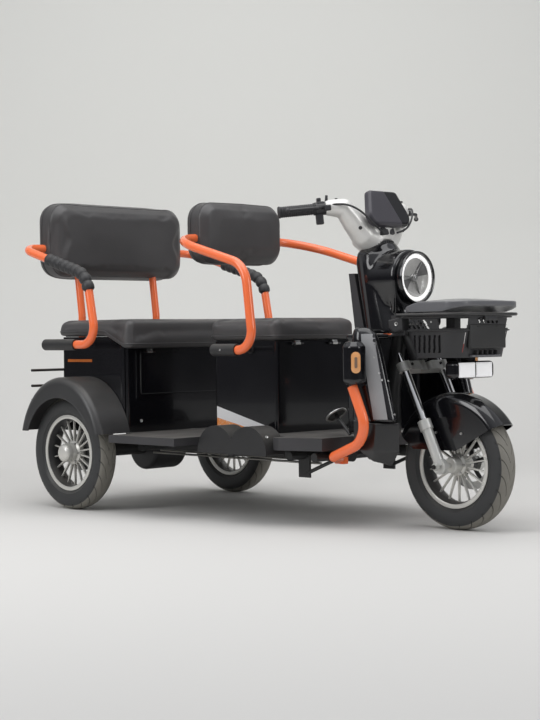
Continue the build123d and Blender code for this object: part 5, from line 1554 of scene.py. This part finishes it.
# ---------------------------------------------------------------- cushions and backrests
# Moulded foam under black leatherette, stretched over plywood and stapled beneath.
# Each is sewn from panels: a piped seam runs round the sides, and the faces swell a little.
pad_voxel = 0.006
pad_frames = 20
pad_pressure = 4
pad_stretch = 40
pad_bend = 20
pad_swell = 0.005
staple_depth = 0.012
cushion_skin = finish(
    "seat_leatherette", (0.058, 0.056, 0.057), 0.44, grain=620, depth=0.3, spread=0.18, slow=9, dust=0.1
)
piping_skin = finish("seat_piping", (0.055, 0.054, 0.055), 0.4, grain=700, depth=0.2, spread=0.15, dust=0.1)


def bench_step(place):
    """How far the bench's underside rises behind its front drop."""
    share = min(1.0, max(0.0, (place.y - 0.415) / 0.105))
    return 0.046 * share


def sew_pad(name, node, body, bm, upright=False):
    """A padded piece: its pattern remeshed, blown up as cloth, capped and smoothed."""
    pad = melted(name, bm, pad_voxel, 2)
    mesh = pad.data
    mesh.materials.append(cushion_skin)
    rest = [vert.co.copy() for vert in mesh.vertices]
    held = pad.vertex_groups.new(name="stapled")
    back = max(place.y for place in rest) - staple_depth
    bottom = min(place.z for place in rest) + staple_depth
    for number, place in enumerate(rest):
        rise = bench_step(place) if node == "rear_cushion" else 0
        if place.y > back if upright else place.z < bottom + rise:
            held.add([number], 1.0, "REPLACE")
    cloth = pad.modifiers.new("foam", "CLOTH")
    cloth.settings.use_pressure = True
    cloth.settings.uniform_pressure_force = pad_pressure
    cloth.settings.effector_weights.gravity = 0
    cloth.settings.vertex_group_mass = "stapled"
    cloth.settings.tension_stiffness = pad_stretch
    cloth.settings.compression_stiffness = pad_stretch
    cloth.settings.bending_stiffness = pad_bend
    for number in range(1, pad_frames + 1):
        bpy.context.scene.frame_set(number)
    blown = pad.evaluated_get(bpy.context.evaluated_depsgraph_get())
    moved = [vert.co.copy() for vert in blown.to_mesh().vertices]
    pad.modifiers.remove(cloth)
    bpy.context.scene.frame_set(1)
    for vert, start, end in zip(mesh.vertices, rest, moved):
        shift = end - start
        if shift.length > pad_swell:
            shift *= pad_swell / shift.length
        vert.co = start + shift
    even = pad.modifiers.new("even", "SMOOTH")
    even.iterations = 3
    smoothed = pad.evaluated_get(bpy.context.evaluated_depsgraph_get()).to_mesh()
    for vert, place in zip(mesh.vertices, [v.co.copy() for v in smoothed.vertices]):
        vert.co = place
    pad.modifiers.remove(even)
    finer = pad.modifiers.new("finer", "SUBSURF")
    finer.levels = 1
    finer.render_levels = 1
    carry(pad, body, (node,))
    return pad


def pipe_round(name, pad, centre, second, level, body, radius=0.0022, steps=220):
    """Piping sewn round a pad, in the plane of X and a second direction, at a level."""
    mesh = pad.data
    tree = BVHTree.FromPolygons([v.co for v in mesh.vertices], [p.vertices for p in mesh.polygons])
    places = []
    for step in range(steps):
        angle = 2 * math.pi * step / steps
        out = side_way * math.cos(angle) + second * math.sin(angle)
        spot = centre + out * 0.3
        for _ in range(3):
            start = centre + out * 0.9 + level(spot)
            found, _, _, _ = tree.ray_cast(start, -out)
            spot = found or spot
        places.append(spot + out * radius * 0.35)
    run_tube(name, places, radius, body, piping_skin, loop=True, fine=2)


def stretch_pad(corners, levels, upright=False, limit=math.inf):
    """The places a pad's pattern is stretched over: circles at (inset, level), up to a limit."""
    places = []
    for inset, level in levels:
        for across, along, radius in corners:
            for flip in (1, -1):
                for x, other in circle(flip * across, along, radius - inset):
                    places.append((x, level, other) if upright else (x, other, level))
    return [place for place in places if place[1] < limit]


side_way, back_way, up_way = Vector((1, 0, 0)), Vector((0, 1, 0)), Vector((0, 0, 1))
seat_corners = ((0.166, 0.104, 0.026), (0.166, -0.170, 0.026))
seat_levels = ((0.004, 0.5895), (0.0, 0.598), (0.0, 0.642), (0.004, 0.652), (0.013, 0.6585))
bm = bmesh.new()
hull(bm, stretch_pad(seat_corners, seat_levels))
driver_pad = sew_pad("driver_cushion_pad", "driver_cushion", "driver_seat_lid", bm)
piping = ("driver_cushion_piping", driver_pad, Vector((0, -0.033, 0)), back_way)
pipe_round(*piping, lambda spot: Vector((0, 0, 0.6045)), "driver_seat_lid")
bench_corners = ((0.308, 0.412, 0.026), (0.308, 0.766, 0.026))
bench_levels = ((0.003, 0.6125), (0.0, 0.620), (0.0, 0.643), (0.004, 0.657), (0.014, 0.6640))
nose_levels = ((0.003, 0.5665), (0.0, 0.574), (0.0, 0.640))
nose_rear = [(flip * 0.3335, 0.520, height) for flip in (1, -1) for height in (0.6125, 0.640)]
bm = bmesh.new()
hull(bm, stretch_pad(bench_corners, bench_levels))
hull(bm, stretch_pad(bench_corners[:1], nose_levels, limit=0.414) + nose_rear)
bench_pad = sew_pad("rear_cushion_pad", "rear_cushion", "rear_seat_lid", bm)
piping = ("rear_cushion_piping", bench_pad, Vector((0, 0.589, 0)), back_way)
pipe_round(*piping, lambda spot: Vector((0, 0, 0.582 + bench_step(spot))), "rear_seat_lid")
back_pads = (
    ("driver_backrest", 0.1405, 0.2375, ((0.135, 1.006, 0.060), (0.135, 0.918, 0.060)), 0.9615),
    ("rear_backrest", 0.8165, 0.9215, ((0.251, 1.037, 0.066), (0.251, 0.897, 0.066)), 0.967),
)
for pad_name, face_y, back_y, corners, middle_z in back_pads:
    levels = ((0.006, back_y), (0.0, back_y - 0.010), (0.0, face_y + 0.030), (0.024, face_y + 0.002))
    bm = bmesh.new()
    hull(bm, stretch_pad(corners, levels, upright=True))
    back_pad = sew_pad(f"{pad_name}_pad", pad_name, "chassis", bm, upright=True)
    for count, (seam, thick) in enumerate(((back_y - 0.024, 0.0020), (face_y + 0.034, 0.0014))):
        piping = (f"{pad_name}_piping_{count + 1}", back_pad, Vector((0, 0, middle_z)), up_way)
        pipe_round(*piping, lambda spot, seam=seam: Vector((0, seam, 0)), "chassis", radius=thick)
bm = bmesh.new()
for flip in (1, -1):
    for inner, outer, along, height in ((0.078, 0.102, -0.192, 0.578), (0.201, 0.225, 0.418, 0.554)):
        low_x, high_x = sorted((flip * inner, flip * outer))
        post(bm, (low_x, along, height), (high_x, along, height), 0.0052, 0.0052, 20)
        block(bm, (low_x, along - 0.002, height), (high_x, along + 0.016, height + 0.0105), 0.001)
build("lid_hinges", bm, "chassis", "steel", bolt_steel)


# ---------------------------------------------------------------- armrests and posts
# Bent tubes in the same orange coat loop from sleeve to sleeve over the backrests.
# Ribbed black foam grips are rolled over the rear pair's front bends.
grip_rib = 0.031
grip_low = 0.0158
grip_swell = 0.0060
sleeve_plastic = finish("sleeve_plastic", (0.019, 0.019, 0.020), 0.5, grain=500, depth=0.25, dust=0.25)
foam_black = finish("ribbed_foam_grip", (0.026, 0.026, 0.028), 0.52, grain=420, depth=0.35, dust=0.15)
dress(orange_coat, "driver_armrests", "rear_armrests", "rear_backrest_posts")
dress(sleeve_plastic, "driver_armrest_sleeves", "rear_armrest_sleeves")


def bent_line(before, corner, after, radius, spacing):
    """Even places down one run, round a bend and along the next."""
    down = (before - corner).normalized()
    onward = (after - corner).normalized()
    half_turn = down.angle(onward) / 2
    reach = radius / math.tan(half_turn)
    entry, leave = corner + down * reach, corner + onward * reach
    centre = corner + (down + onward).normalized() * radius / math.sin(half_turn)
    sweep = math.pi - 2 * half_turn
    places = [before.lerp(entry, n / 12) for n in range(12)]
    turn_axis = (entry - centre).cross(leave - centre).normalized()
    places += [centre + Matrix.Rotation(sweep * n / 24, 3, turn_axis) @ (entry - centre) for n in range(25)]
    places += [leave.lerp(after, n / 20) for n in range(1, 21)]
    total = sum((b - a).length for a, b in zip(places, places[1:]))
    even, run, index = [], 0.0, 0
    for number in range(round(total / spacing)):
        target = number * spacing
        while run + (places[index + 1] - places[index]).length < target:
            run += (places[index + 1] - places[index]).length
            index += 1
        piece = (places[index + 1] - places[index]).length
        even.append(places[index].lerp(places[index + 1], (target - run) / piece))
    return even


for flip, hand in ((1, "left"), (-1, "right")):
    line = bent_line(
        Vector((flip * 0.427, 0.4856, 0.7710)),
        Vector((flip * 0.427, 0.496, 0.823)),
        Vector((flip * 0.427, 0.716, 0.8868)),
        0.090,
        0.0015,
    )
    swell = []
    for number in range(len(line)):
        wave = abs(math.sin(math.pi * number * 0.0015 / grip_rib)) ** 0.55
        ends = min(1.0, number / 4, (len(line) - 1 - number) / 4)
        swell.append((0.0155 + (grip_low - 0.0155 + grip_swell * wave + 0.0004) * ends) / grip_low)
    run_tube(
        f"{hand}_rear_grip", line, grip_low, "chassis", foam_black, swell=swell, fine=8
    )
bm = bmesh.new()
for flip in (1, -1):
    spot, out = surface_at("driver_armrest_sleeves", (flip * 0.6, -0.095, 0.5605), (-flip, 0, 0))
    drive_screw(bm, spot, out, 0.0032, 0.0018, 14)
build("sleeve_screws", bm, "chassis", "steel", bolt_steel)


# ---------------------------------------------------------------- rear body
# A pressed steel body in gloss black with a flat front wall, beaded seams and a small lock.
# An orange stripe is lacquered on each side, and red lamps are let into the tail.
stripe_range = ((0.609, 0.7487), (0.5187, 0.5285))
body_seams = (
    ((-0.250, 0.560), (-0.250, 0.410), (-0.246, 0.4055), (0.246, 0.4055), (0.250, 0.410), (0.250, 0.560)),
    ((-0.272, 0.558), (-0.272, 0.390)),
    ((0.272, 0.558), (0.272, 0.390)),
)
body_black = finish(
    "rear_body_lacquer", (0.006, 0.006, 0.0075), 0.13, grain=900, depth=0.02, spread=0.3, slow=3, dust=0.04,
    coat=0.35
)
body_tree = body_black.node_tree
body_x, body_y, body_z = place_sockets(body_tree)
stripe_mask = reckon(body_tree, "GREATER_THAN", reckon(body_tree, "ABSOLUTE", body_x), 0.3190)
for socket, (start, end) in ((body_y, stripe_range[0]), (body_z, stripe_range[1])):
    past_start = reckon(body_tree, "GREATER_THAN", socket, start)
    inside = reckon(body_tree, "MULTIPLY", past_start, reckon(body_tree, "LESS_THAN", socket, end))
    stripe_mask = reckon(body_tree, "MULTIPLY", stripe_mask, inside)
paint_over(body_tree, stripe_mask, (0.62, 0.17, 0.035, 1))
dress(body_black, "rear_body")
seal_plan = plan_loop(0.3165, 0.7695, 0.4295, seal_corner, seal_corner, 0.010)
bench_seal = [(*place, 0.5652 + bench_step(place)) for place in seal_plan]
run_tube("rear_body_seal", bench_seal, 0.0018, "chassis", seal_rubber, loop=True, fine=2)
for count, seam in enumerate(body_seams):
    route = [(x, 0.4245, z) for x, z in seam]
    run_tube(f"rear_body_seam_{count + 1}", route, 0.0022, "chassis", body_black, fine=2)
bm = bmesh.new()
for flip in (-1, 1):
    drive_screw(bm, (flip * 0.2488, 0.4255, 0.3116), (0, -1, 0), 0.0055, 0.003)
build("rear_body_lock", bm, "chassis", "steel", bracket_screw)
tail_red = finish("tail_lamp_red", (0.55, 0.02, 0.02), 0.12, grain=120, depth=0.02, spread=0.05, dust=0.0)
adjust(tail_red, {"Transmission Weight": 0.2})
dress(tail_red, "tail_lamps")
bm = bmesh.new()
for flip in (1, -1):
    inner, outer = sorted((flip * 0.187, flip * 0.293))
    for bottom in (0.4655, 0.5385):
        block(bm, (inner, 0.7725, bottom), (outer, 0.781, bottom + 0.006), 0.0015)
    for side_x in (inner, outer - 0.004):
        block(bm, (side_x, 0.7725, 0.4655), (side_x + 0.004, 0.781, 0.5445), 0.0012)
build("tail_lamp_frames", bm, "chassis", "panel_black", gloss_black)


# ---------------------------------------------------------------- rear fenders and rack
# Vacuum formed fenders in matte grey black with a rolled outer lip stand over the rear wheels.
# A black steel rod rack is bolted across the tail.
fender_grey = finish(
    "fender_plastic", (0.034, 0.034, 0.035), 0.36, grain=420, depth=0.25, spread=0.15, dust=0.2
)
lip_half_length = 0.1925
lip_height = 0.1972
dress(fender_grey, "rear_fenders")
dress(frame_paint, "rear_rack")
lip_start = math.asin((0.2765 - wheel_height) / lip_height)
lip_turns = [lip_start + (math.pi - 2 * lip_start) * step / 60 for step in range(61)]
lip_line = [
    (rear_axle_y - lip_half_length * math.cos(angle), wheel_height + lip_height * math.sin(angle))
    for angle in lip_turns
]
for flip, hand in ((1, "left"), (-1, "right")):
    lip = [(flip * 0.4622, y, z) for y, z in lip_line]
    run_tube(f"{hand}_fender_lip", lip, 0.0022, "chassis", fender_grey, fine=3)
